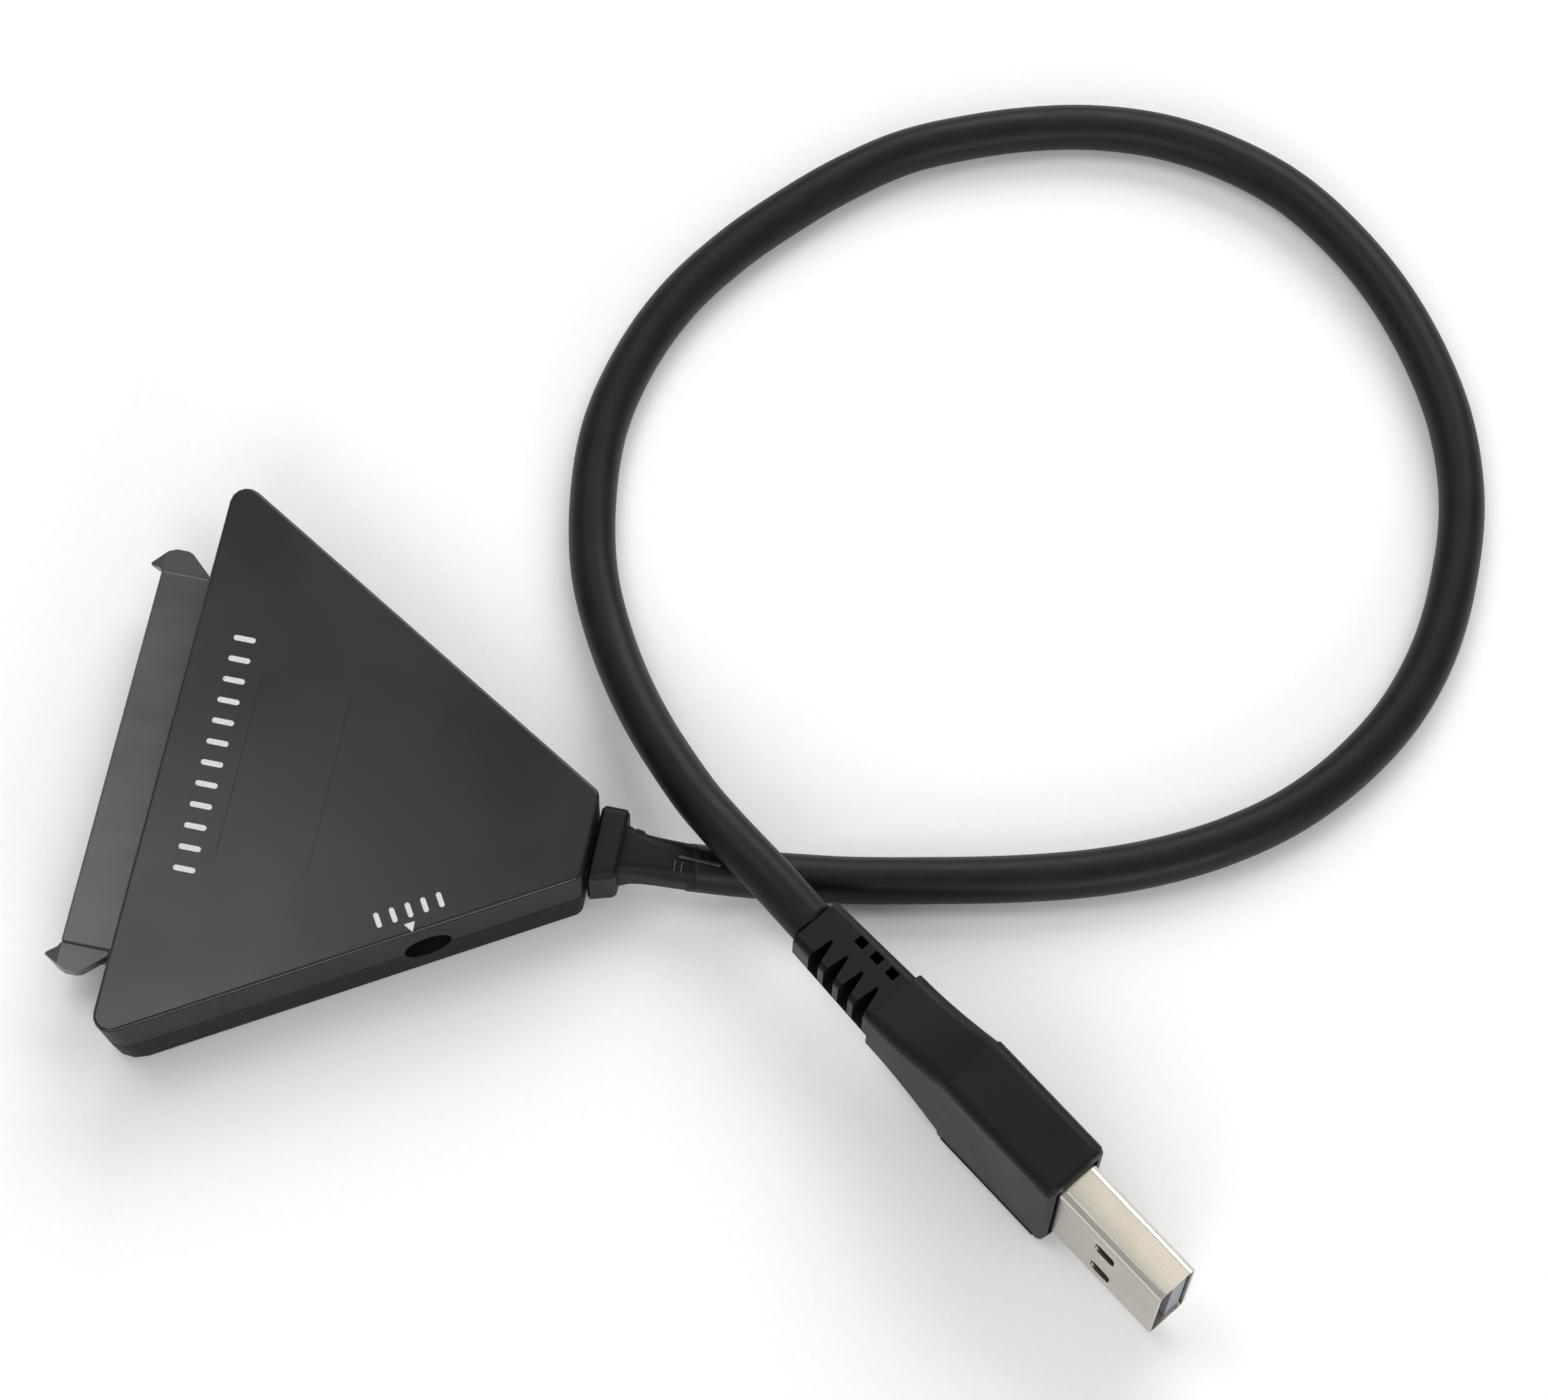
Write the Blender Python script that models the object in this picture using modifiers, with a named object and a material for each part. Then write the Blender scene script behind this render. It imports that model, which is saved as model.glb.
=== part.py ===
"""USB to SATA adapter.

A flat triangular housing carries a 22-way SATA receptacle along its wide side and a round power
jack behind one slanted side. A fixed cable leaves the narrow end, loops round, passes over itself
and ends in a USB-A plug that stands on its narrow edge.

Frame: metres, +Z up, Z = 0 is the surface under the housing. +X runs from the SATA side to the
cable end and +Y along the SATA receptacle. The origin is under the middle of the housing with its
receptacle.
"""

import math

import bmesh
import bpy
from mathutils import Vector

MM = 0.001

# Housing, in plan a triangle whose narrow end is cut off flat. Its two wide corners are tight at
# the roof and grow rounder towards the foot
HOUSING_WIDTH = 57.4 * MM
HOUSING_DEPTH = 40.3 * MM
HOUSING_NOSE_WIDTH = 8.66 * MM
HOUSING_HEIGHT = 10.7 * MM
HOUSING_CORNER_RADIUS = 1.6 * MM
HOUSING_FOOT_RADIUS = 2.9 * MM
HOUSING_NOSE_RADIUS = 1.0 * MM
HOUSING_WALL = 1.6 * MM
NOSE_WALL = 2.4 * MM
ROOF_THICKNESS = 1.4 * MM
TOP_EDGE_RADIUS = 0.35 * MM
BOTTOM_EDGE_RADIUS = 1.2 * MM
RIM_STEPS = 3

# Seam between the two covers, with a lip of the lower one inside the upper one
SEAM_HEIGHT = 5.1 * MM
SEAM_GAP = 0.3 * MM
LIP_HEIGHT = 0.9 * MM
LIP_THICKNESS = 0.6 * MM
LIP_CLEARANCE = 0.25 * MM

# Shallow rectangular recess in the roof
RECESS_FROM_BACK = 7.2 * MM
RECESS_WIDTH = 8.6 * MM
RECESS_LENGTH = 18.4 * MM
RECESS_DEPTH = 0.15 * MM
RECESS_CORNER_RADIUS = 0.8 * MM

# Clearances
SEAT_GAP = 0.3 * MM
SLIDE_GAP = 0.15 * MM
OVERCUT = 1.0 * MM

# Posts that carry the board and line up the covers
POST_RADIUS = 1.7 * MM
POST_PIN_RADIUS = 0.75 * MM
POST_PIN_LENGTH = 1.3 * MM
POST_FROM_BACK = 8.6 * MM
POST_FROM_SIDE = 4.6 * MM
NOSE_POST_FROM_NOSE = 13.5 * MM
NOSE_POST_OFFSET = 5.0 * MM

# SATA receptacle
CONTACT_PITCH = 1.27 * MM
SIGNAL_COUNT = 7
POWER_COUNT = 15
SEGMENT_GAP = 7.62 * MM
INSULATOR_LENGTH = 37.8 * MM
INSULATOR_HEIGHT = 5.0 * MM
INSULATOR_REACH = 5.2 * MM
INSULATOR_SEAT = 3.6 * MM
INSULATOR_FLANGE = 1.3 * MM
INSULATOR_EDGE = 0.3 * MM
RECEPTACLE_HEIGHT = 4.9 * MM
SLOT_DEPTH = 6.3 * MM
SLOT_ROOF_OFFSET = 1.5 * MM
SLOT_OPENING = 1.7 * MM
SLOT_END_MARGIN = 1.3 * MM
KEY_WIDTH = 1.3 * MM
KEY_DROP = 1.5 * MM
CHANNEL_WIDTH = 0.9 * MM
CHANNEL_DEPTH = 0.55 * MM
CHANNEL_START = 0.7 * MM
CONTACT_WIDTH = 0.6 * MM
CONTACT_THICKNESS = 0.2 * MM
CONTACT_TAIL = 2.9 * MM

# Guide ears at the receptacle's ends: a flared plate with a low pointed nose, and a groove under it
EAR_SPREAD = 2.45 * MM
EAR_REACH = 6.6 * MM
EAR_THICKNESS = 1.35 * MM
EAR_STEP = 0.35 * MM
EAR_NOSE_DROP = 1.1 * MM
GUIDE_GROOVE_DEPTH = 0.5 * MM
GUIDE_GROOVE_HEIGHT = 1.9 * MM

# Circuit board and what stands on it
BOARD_THICKNESS = 1.0 * MM
BOARD_TOP_OFFSET = 0.1 * MM
BOARD_MARGIN = 0.35 * MM
BOARD_CORNER_RADIUS = 1.1 * MM
SOLDER_GAP = 0.15 * MM
WIRE_BREAKOUT = 1.4 * MM
BRIDGE_CHIP_SIDE = 7.0 * MM
BRIDGE_CHIP_HEIGHT = 0.9 * MM
BRIDGE_CHIP_CLEARANCE = 0.8 * MM
FLASH_CHIP_SIZE = (3.9 * MM, 4.9 * MM, 1.4 * MM)
FLASH_CHIP_FROM_BACK = 11.8 * MM
FLASH_LEG_PITCH = 1.27 * MM
CRYSTAL_SIZE = (3.2 * MM, 5.0 * MM, 1.1 * MM)
CRYSTAL_SHIFT = 0.9 * MM
CRYSTAL_GAP = 1.2 * MM
CHIP_GAP = 2.0 * MM
REGULATOR_SIZE = (1.7 * MM, 3.0 * MM, 1.2 * MM)
REGULATOR_FROM_BACK = 11.9 * MM
POST_CLEARANCE = 0.6 * MM
CAPACITOR_SIZE = (1.25 * MM, 2.0 * MM, 1.2 * MM)
CAPACITOR_FROM_BACK = 11.2 * MM
CAPACITOR_SHIFT = 1.4 * MM
CAPACITOR_CLEARANCE = 0.6 * MM
INDUCTOR_SIDE = 5.2 * MM
INDUCTOR_DRUM_RADIUS = 2.35 * MM
INDUCTOR_DRUM_HEIGHT = 1.5 * MM
INDUCTOR_FROM_BACK = 10.8 * MM

# Power jack, square to the slanted side wall
JACK_FROM_BACK = 27.6 * MM
JACK_HEIGHT = 5.8 * MM
JACK_HOLE_RADIUS = 2.3 * MM
JACK_BORE_RADIUS = 2.2 * MM
JACK_BORE_DEPTH = 7.8 * MM
JACK_BODY_WIDTH = 7.4 * MM
JACK_BODY_LENGTH = 10.4 * MM
JACK_PIN_RADIUS = 0.7 * MM
JACK_PIN_SETBACK = 0.8 * MM
JACK_SPRING_WIDTH = 2.0 * MM
JACK_SPRING_THICKNESS = 0.25 * MM
JACK_TAIL = 0.8 * MM

# Cable strain relief in the housing's nose
GLAND_HEIGHT = 4.85 * MM
GLAND_NECK_HALF = 2.4 * MM
GLAND_FLANGE = 1.0 * MM
GLAND_FLANGE_HALF_WIDTH = 3.4 * MM
GLAND_FLANGE_HALF_HEIGHT = 3.0 * MM
GLAND_COLLAR = 2.6 * MM
GLAND_COLLAR_HALF_WIDTH = 3.8 * MM
GLAND_COLLAR_HALF_HEIGHT = 3.2 * MM
GLAND_COLLAR_TAPER = 0.3 * MM
GLAND_COLLAR_RISE = 0.55 * MM
GLAND_SLEEVE = 6.3 * MM
GLAND_SLEEVE_HALF = 2.0 * MM
GLAND_FLARE = 0.45 * MM
GLAND_START_OFFSET = 0.7 * MM
GLAND_END_OFFSET = 1.05 * MM
GLAND_END_DROP = 0.65 * MM
GLAND_END_TURN = 0.17
GLAND_END_DIP = 0.24

# Cable
CABLE_DIAMETER = 4.5 * MM
CABLE_POINT_COUNT = 42
CORE_DIAMETER = 0.8 * MM
CORE_SPACING = 1.2 * MM
CORE_ROW_OFFSET = 0.95 * MM
CORE_PAD_SPACING = 2.3 * MM
CORE_PAD_FROM_BOARD_END = 3.0 * MM

# Centre line of the cable, chosen by hand: out of the strain relief, down to the surface, round
# the loop and over its own start to the plug
CABLE_ROUTE_MM = [
    (32.98, 1.10, 4.12), (37.65, 1.90, 3.05), (42.75, 2.80, 2.35), (48.25, 3.70, 2.30),
    (57.65, 5.70, 2.30), (63.75, 7.20, 2.30), (69.65, 9.00, 2.30), (75.45, 11.40, 2.30),
    (81.15, 14.60, 2.30), (86.55, 18.80, 2.30), (91.25, 24.20, 2.30), (95.05, 30.70, 2.30),
    (97.35, 38.10, 2.30), (98.05, 45.90, 2.30), (97.55, 53.80, 2.30), (95.35, 61.50, 2.30),
    (91.75, 68.30, 2.30), (87.15, 74.40, 2.30), (81.85, 79.40, 2.30), (75.85, 83.40, 2.30),
    (69.25, 85.80, 2.30), (62.55, 86.80, 2.30), (55.85, 86.40, 2.30), (49.55, 84.90, 2.30),
    (43.45, 82.60, 2.30), (37.75, 79.70, 2.30), (32.55, 75.60, 2.30), (27.85, 70.90, 2.30),
    (23.35, 65.60, 2.30), (19.35, 59.40, 2.30), (16.55, 52.30, 2.30), (15.15, 44.50, 2.30),
    (15.65, 36.50, 2.30), (17.55, 28.70, 2.40), (21.05, 21.40, 2.90), (25.55, 14.50, 4.60),
    (31.05, 7.90, 6.90), (34.95, 4.20, 8.10), (40.32, 0.10, 8.35), (45.01, -3.41, 7.90),
]

# USB-A plug: where its shell leaves the overmould, and which way it points
PLUG_PLACE_MM = (72.96, -24.01, 7.80)
PLUG_HEADING = math.radians(-36.4)
SHELL_WIDTH = 12.0 * MM
SHELL_THICKNESS = 4.5 * MM
SHELL_REACH = 12.9 * MM
SHELL_SEAT = 5.0 * MM
SHELL_SHEET = 0.3 * MM
SHELL_CORNER_RADIUS = 0.6 * MM
WINDOW_LENGTH = 2.4 * MM
WINDOW_WIDTH = 1.9 * MM
WINDOW_FROM_TIP = 6.7 * MM
WINDOW_SPREAD = 2.75 * MM
WINDOW_CORNER_RADIUS = 0.5 * MM
TONGUE_SETBACK = 0.9 * MM
TONGUE_BLOCK_REACH = 1.2 * MM
TONGUE_FACE = 0.0 * MM
PLUG_CONTACT_WIDTH = 1.0 * MM
PLUG_CONTACT_PLACES_MM = (-3.5, -1.0, 1.0, 3.5)
PLUG_CONTACT_GROOVE = 0.35 * MM
FAST_CONTACT_WIDTH = 0.8 * MM
FAST_CONTACT_PITCH = 1.75 * MM
FAST_CONTACT_COUNT = 5
FAST_CONTACT_LIFT = 0.75 * MM
FAST_CONTACT_REACH = 3.4 * MM

# Overmould: a grip, a neck that narrows, then a strain relief with slots from both sides
GRIP_LENGTH = 13.7 * MM
GRIP_HALF_THICKNESS = 3.48 * MM
GRIP_HALF_WIDTH = 7.75 * MM
GRIP_EDGE_RADIUS = 1.3 * MM
GRIP_FRONT_RADIUS = 0.6 * MM
NECK_LENGTH = 10.1 * MM
NECK_START_HALF_THICKNESS = 3.38 * MM
NECK_START_HALF_WIDTH = 7.35 * MM
NECK_END_HALF_THICKNESS = 3.35 * MM
NECK_END_HALF_WIDTH = 4.1 * MM
NECK_STATIONS = 5
RELIEF_LENGTH = 10.6 * MM
RELIEF_START_HALF_THICKNESS = 3.1 * MM
RELIEF_START_HALF_WIDTH = 2.8 * MM
RELIEF_END_HALF_THICKNESS = 2.8 * MM
RELIEF_END_HALF_WIDTH = 2.35 * MM
RELIEF_EDGE_RADIUS = 0.9 * MM
NOTCH_PITCH = 2.05 * MM
NOTCH_COUNT = 4
NOTCH_FIRST = 2.0 * MM
NOTCH_MOUTH = 1.4 * MM
NOTCH_TIP = 0.3 * MM
NOTCH_REACH = 2.8 * MM
NOTCH_SPINE = 1.2 * MM
SLIT_LENGTH = 1.1 * MM
SLIT_WIDTH = 0.95 * MM
SLIT_RAIL = 0.75 * MM

# Planes and places that several pieces share
BACK_X = (EAR_REACH - HOUSING_DEPTH) / 2
NOSE_X = BACK_X + HOUSING_DEPTH
ROOF_Z = HOUSING_HEIGHT - ROOF_THICKNESS
FLOOR_Z = ROOF_THICKNESS
FACE_X = BACK_X - INSULATOR_REACH
REAR_X = BACK_X + INSULATOR_SEAT
SLOT_HIGH = RECEPTACLE_HEIGHT + SLOT_ROOF_OFFSET
SLOT_LOW = SLOT_HIGH - SLOT_OPENING
BOARD_TOP = RECEPTACLE_HEIGHT + BOARD_TOP_OFFSET
BOARD_BOTTOM = BOARD_TOP - BOARD_THICKNESS
GLAND_TAIL_X = NOSE_X - NOSE_WALL - SEAT_GAP - GLAND_FLANGE
BOARD_END_X = GLAND_TAIL_X - WIRE_BREAKOUT
JACK_FRONT = HOUSING_WALL + SEAT_GAP
JACK_REAR = JACK_FRONT + JACK_BODY_LENGTH

# Finish of each material: colour, roughness, metallic
FINISHES = {
    "housing_plastic": ((0.040, 0.041, 0.042), 0.48, 0.0),
    "receptacle_plastic": ((0.082, 0.083, 0.086), 0.42, 0.0),
    "relief_rubber": ((0.026, 0.026, 0.027), 0.60, 0.0),
    "cable_jacket": ((0.016, 0.016, 0.017), 0.42, 0.0),
    "plug_overmould": ((0.022, 0.022, 0.022), 0.58, 0.0),
    "plug_steel": ((0.78, 0.76, 0.70), 0.26, 1.0),
    "tongue_plastic": ((0.095, 0.105, 0.135), 0.50, 0.0),
    "contact_gold": ((0.83, 0.61, 0.26), 0.28, 1.0),
    "board_laminate": ((0.018, 0.090, 0.045), 0.50, 0.0),
    "chip_epoxy": ((0.020, 0.020, 0.021), 0.55, 0.0),
    "can_steel": ((0.62, 0.62, 0.60), 0.30, 1.0),
    "ferrite": ((0.060, 0.058, 0.056), 0.65, 0.0),
    "capacitor_ceramic": ((0.42, 0.28, 0.17), 0.50, 0.0),
    "jack_plastic": ((0.018, 0.018, 0.018), 0.45, 0.0),
    "jack_steel": ((0.60, 0.58, 0.54), 0.30, 1.0),
    "core_red": ((0.45, 0.02, 0.02), 0.45, 0.0),
    "core_black": ((0.02, 0.02, 0.02), 0.45, 0.0),
    "core_green": ((0.03, 0.25, 0.06), 0.45, 0.0),
    "core_white": ((0.75, 0.75, 0.73), 0.45, 0.0),
    "pair_blue": ((0.04, 0.10, 0.40), 0.45, 0.0),
    "pair_orange": ((0.60, 0.22, 0.03), 0.45, 0.0),
}


# Scene, collections and materials

def start_scene():
    """Empty the scene and make the collections of the parts and the cutters."""
    for obj in list(bpy.data.objects):
        bpy.data.objects.remove(obj, do_unlink=True)
    parts = bpy.data.collections.new("usb_to_sata_adapter")
    cutters = bpy.data.collections.new("cutters")
    bpy.context.scene.collection.children.link(parts)
    bpy.context.scene.collection.children.link(cutters)
    return parts, cutters


def finish(name):
    """The Principled material of a finish, made once."""
    material = bpy.data.materials.get(name)
    if material is None:
        colour, roughness, metallic = FINISHES[name]
        material = bpy.data.materials.new(name)
        material.use_nodes = True
        shader = material.node_tree.nodes["Principled BSDF"]
        shader.inputs["Base Color"].default_value = (*colour, 1.0)
        shader.inputs["Roughness"].default_value = roughness
        shader.inputs["Metallic"].default_value = metallic
        material.diffuse_color = (*colour, 1.0)
    return material


def make_part(obj, finish_name, parent=None):
    """Put an object among the parts, with its finish and its parent."""
    PARTS.objects.link(obj)
    obj.data.materials.clear()
    obj.data.materials.append(finish(finish_name))
    obj.parent = parent
    return obj


def make_cutter(obj, parent=None):
    """Put an object among the cutters, where it shows only as wire."""
    if obj.name not in CUTTERS.objects:
        CUTTERS.objects.link(obj)
    obj.parent = parent
    obj.hide_render = True
    obj.display_type = "WIRE"
    return obj


def make_place(name, location, heading):
    """An empty that carries the pieces of an assembly that is turned in plan."""
    empty = bpy.data.objects.new(name, None)
    PARTS.objects.link(empty)
    empty.location = location
    empty.rotation_euler.z = heading
    return empty


# Solids

def clean_mesh(mesh):
    """Weld a mesh, merge its flat faces and point its normals outwards."""
    bm = bmesh.new()
    bm.from_mesh(mesh)
    bmesh.ops.remove_doubles(bm, verts=bm.verts, dist=0.001 * MM)
    bmesh.ops.dissolve_limit(bm, angle_limit=math.radians(0.5), verts=bm.verts, edges=bm.edges)
    bmesh.ops.recalc_face_normals(bm, faces=bm.faces)
    bm.to_mesh(mesh)
    bm.free()


def mesh_of_curve(guide):
    """Turn a curve object into a mesh object at the same place."""
    bpy.context.scene.collection.objects.link(guide)
    graph = bpy.context.evaluated_depsgraph_get()
    mesh = bpy.data.meshes.new_from_object(guide.evaluated_get(graph))
    clean_mesh(mesh)
    name = guide.name
    place = guide.matrix_world.copy()
    bpy.data.objects.remove(guide, do_unlink=True)
    obj = bpy.data.objects.new(name, mesh)
    obj.matrix_world = place
    return obj


def flat_solid(name, outline, low, high, upright=False):
    """A closed outline thickened from low to high.

    The outline lies in XY and is thickened along Z. Upright, it lies in XZ and is thickened
    along Y.
    """
    curve = bpy.data.curves.new(name, "CURVE")
    curve.dimensions = "2D"
    curve.fill_mode = "BOTH"
    curve.extrude = (high - low) / 2
    spline = curve.splines.new("POLY")
    spline.points.add(len(outline) - 1)
    for point, (across, along) in zip(spline.points, outline):
        point.co = (across, along, 0.0, 1.0)
    spline.use_cyclic_u = True
    guide = bpy.data.objects.new(name, curve)
    middle = (low + high) / 2
    if upright:
        guide.rotation_euler.x = math.pi / 2
        guide.location.y = middle
    else:
        guide.location.z = middle
    return mesh_of_curve(guide)


def box(name, low, high):
    """A box between two opposite corners, with its origin in its middle."""
    low = Vector(low)
    high = Vector(high)
    mesh = bpy.data.meshes.new(name)
    bm = bmesh.new()
    bmesh.ops.create_cube(bm, size=1.0)
    bmesh.ops.scale(bm, vec=high - low, verts=bm.verts)
    bm.to_mesh(mesh)
    bm.free()
    obj = bpy.data.objects.new(name, mesh)
    obj.location = (low + high) / 2
    return obj


def boxes(name, corner_pairs):
    """Several boxes that do not touch, as one mesh, each between two opposite corners."""
    mesh = bpy.data.meshes.new(name)
    bm = bmesh.new()
    for low, high in corner_pairs:
        low = Vector(low)
        high = Vector(high)
        cube = bmesh.ops.create_cube(bm, size=1.0)
        bmesh.ops.scale(bm, vec=high - low, verts=cube["verts"])
        bmesh.ops.translate(bm, vec=(low + high) / 2, verts=cube["verts"])
    bm.to_mesh(mesh)
    bm.free()
    return bpy.data.objects.new(name, mesh)


def cylinder(name, radius, low, high, along="Z", segments=24):
    """A cylinder about the Z or X axis, from low to high along it."""
    mesh = bpy.data.meshes.new(name)
    bm = bmesh.new()
    bmesh.ops.create_cone(
        bm, cap_ends=True, segments=segments, radius1=radius, radius2=radius, depth=high - low)
    bm.to_mesh(mesh)
    bm.free()
    mesh.shade_smooth()
    mesh.set_sharp_from_angle(angle=math.radians(40))
    obj = bpy.data.objects.new(name, mesh)
    if along == "X":
        obj.rotation_euler.y = math.pi / 2
        obj.location.x = (low + high) / 2
    else:
        obj.location.z = (low + high) / 2
    return obj


def turned(name, profile, steps=16):
    """A profile of (radius, height) points, listed from top to bottom, turned about Z."""
    mesh = bpy.data.meshes.new(name)
    bm = bmesh.new()
    points = [bm.verts.new((radius, 0.0, height)) for radius, height in profile]
    for first, second in zip(points, points[1:]):
        bm.edges.new((first, second))
    bm.to_mesh(mesh)
    bm.free()
    obj = bpy.data.objects.new(name, mesh)
    screw = obj.modifiers.new("turn", "SCREW")
    screw.steps = steps
    screw.render_steps = steps
    screw.use_merge_vertices = True
    screw.merge_threshold = 0.001 * MM
    return obj


def skin_through(name, rings):
    """A closed skin through rings of equal point count, each end closed by a flat face."""
    mesh = bpy.data.meshes.new(name)
    bm = bmesh.new()
    rows = [[bm.verts.new(point) for point in ring] for ring in rings]
    for row, following in zip(rows, rows[1:]):
        for index, vertex in enumerate(row):
            after = (index + 1) % len(row)
            bm.faces.new((vertex, row[after], following[after], following[index]))
    bm.faces.new(rows[0])
    bm.faces.new(rows[-1])
    bmesh.ops.recalc_face_normals(bm, faces=bm.faces)
    bm.to_mesh(mesh)
    bm.free()
    mesh.shade_smooth()
    mesh.set_sharp_from_angle(angle=math.radians(35))
    return bpy.data.objects.new(name, mesh)


def round_edges(obj, radius, segments=2):
    """Round every sharp edge of an object."""
    bevel = obj.modifiers.new("round", "BEVEL")
    bevel.width = radius
    bevel.segments = segments
    bevel.limit_method = "ANGLE"
    bevel.angle_limit = math.radians(40)
    return obj


def combine(body, operation, tool):
    """Add an exact Boolean of the body with a tool."""
    modifier = body.modifiers.new(operation.lower() + " " + tool.name, "BOOLEAN")
    modifier.operation = operation
    modifier.solver = "EXACT"
    modifier.object = tool
    return body


def cut(body, *tools):
    """Cut the tools out of the body."""
    for tool in tools:
        combine(body, "DIFFERENCE", tool)
    return body


def join(body, *tools):
    """Join the tools to the body."""
    for tool in tools:
        combine(body, "UNION", tool)
    return body


# Outlines

def rounded_outline(corners, radii, segments=5):
    """A closed outline through corners, each one rounded by its own radius."""
    outline = []
    count = len(corners)
    for index, (corner, radius) in enumerate(zip(corners, radii)):
        corner = Vector(corner)
        back = (Vector(corners[index - 1]) - corner).normalized()
        ahead = (Vector(corners[(index + 1) % count]) - corner).normalized()
        half_angle = back.angle(ahead) / 2
        centre = corner + (back + ahead).normalized() * radius / math.sin(half_angle)
        start = corner + back * radius / math.tan(half_angle)
        sweep = Vector(start - centre)
        turn = math.pi - 2 * half_angle
        side = 1.0 if back.x * ahead.y - back.y * ahead.x < 0 else -1.0
        for step in range(segments + 1):
            angle = side * turn * step / segments
            x = sweep.x * math.cos(angle) - sweep.y * math.sin(angle)
            y = sweep.x * math.sin(angle) + sweep.y * math.cos(angle)
            outline.append((centre.x + x, centre.y + y))
    return outline


def rounded_rectangle(low, high, radius, segments=4):
    """A rounded rectangle between two opposite corners in the plane."""
    corners = [(low[0], low[1]), (high[0], low[1]), (high[0], high[1]), (low[0], high[1])]
    return rounded_outline(corners, [radius] * 4, segments)


def strip_outline(centre_line, thickness):
    """The outline of a bent strip of sheet along a centre line."""
    half = thickness / 2
    left = []
    right = []
    for index, point in enumerate(centre_line):
        here = Vector(point)
        before = Vector(centre_line[max(index - 1, 0)])
        after = Vector(centre_line[min(index + 1, len(centre_line) - 1)])
        incoming = (here - before).normalized() if index else (after - here).normalized()
        outgoing = (after - here).normalized() if after != here else incoming
        along = (incoming + outgoing).normalized()
        reach = half / max(along.dot(incoming), 0.5)
        across = Vector((-along.y, along.x)) * reach
        left.append(tuple(here + across))
        right.append(tuple(here - across))
    return left + right[::-1]


def side_slope():
    """How much the housing's half width shrinks for each metre towards the nose."""
    return (HOUSING_WIDTH - HOUSING_NOSE_WIDTH) / 2 / HOUSING_DEPTH


def half_width(from_back, inset=0.0):
    """Half the housing's width at a distance from its back, its side walls moved in by inset."""
    slope = side_slope()
    return HOUSING_WIDTH / 2 - slope * from_back - inset * math.hypot(1.0, slope)


def tapered_outline(back, nose, inset, corner_radius, nose_radius):
    """A plan outline between the slanted walls, from one distance from the back to another."""
    corners = [
        (BACK_X + back, -half_width(back, inset)), (BACK_X + nose, -half_width(nose, inset)),
        (BACK_X + nose, half_width(nose, inset)), (BACK_X + back, half_width(back, inset))]
    radii = [corner_radius, nose_radius, nose_radius, corner_radius]
    return rounded_outline(corners, radii)


def housing_outline(inset, nose_inset):
    """The housing's plan outline moved in from its walls, and by its own amount at the nose."""
    corner_radius = max(HOUSING_FOOT_RADIUS - inset, 0.5 * MM)
    nose_radius = max(HOUSING_NOSE_RADIUS - inset, 0.4 * MM)
    return tapered_outline(inset, HOUSING_DEPTH - nose_inset, inset, corner_radius, nose_radius)


# Housing

def housing_ring(height, inset=0.0):
    """The housing's outside at a height, moved in by inset, as a ring of points."""
    share = 1.0 - height / HOUSING_HEIGHT
    corner = HOUSING_CORNER_RADIUS + share * (HOUSING_FOOT_RADIUS - HOUSING_CORNER_RADIUS)
    outline = tapered_outline(
        inset, HOUSING_DEPTH - inset, inset, max(corner - inset, 0.2 * MM),
        max(HOUSING_NOSE_RADIUS - inset, 0.2 * MM))
    return [(x, y, height) for x, y in outline]


def rim_rings(height, radius, side):
    """Rings of a rounded rim whose flat face is at a height, facing up or down by side."""
    rings = []
    for step in range(RIM_STEPS + 1):
        angle = math.pi / 2 * step / RIM_STEPS
        drop = radius * (1 - math.cos(angle))
        rings.append(housing_ring(height - side * drop, radius * (1 - math.sin(angle))))
    return rings


def post_places():
    """Where the posts stand in plan: two behind the receptacle's ends and one near the nose."""
    back = BACK_X + POST_FROM_BACK
    nose = NOSE_X - NOSE_POST_FROM_NOSE
    side = half_width(POST_FROM_BACK) - POST_FROM_SIDE
    return [(back, side), (back, -side), (nose, NOSE_POST_OFFSET)]


def post(name, place, radius, low, high):
    """One round post or hole of the covers, at a place in plan."""
    obj = cylinder(name, radius, low, high, segments=16)
    obj.location.x, obj.location.y = place
    return obj


def shared_cuts(jack_place):
    """The openings that both covers share: receptacle, strain relief and power jack."""
    half = INSULATOR_LENGTH / 2 + SEAT_GAP
    rise = INSULATOR_HEIGHT / 2 + SEAT_GAP
    mouth = box(
        "cut_receptacle", (BACK_X - OVERCUT, -half, RECEPTACLE_HEIGHT - rise),
        (BACK_X + HOUSING_WALL + OVERCUT, half, RECEPTACLE_HEIGHT + rise))
    neck = GLAND_NECK_HALF + SEAT_GAP
    nose = box(
        "cut_strain_relief", (NOSE_X - NOSE_WALL - OVERCUT, -neck, GLAND_HEIGHT - neck),
        (NOSE_X + OVERCUT, neck, GLAND_HEIGHT + neck))
    round_edges(nose, 0.9 * MM)
    hole = cylinder(
        "cut_jack_hole", JACK_HOLE_RADIUS, -OVERCUT, HOUSING_WALL + OVERCUT, along="X")
    make_cutter(mouth)
    make_cutter(nose)
    make_cutter(hole, jack_place)
    return mouth, nose, hole


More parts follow.
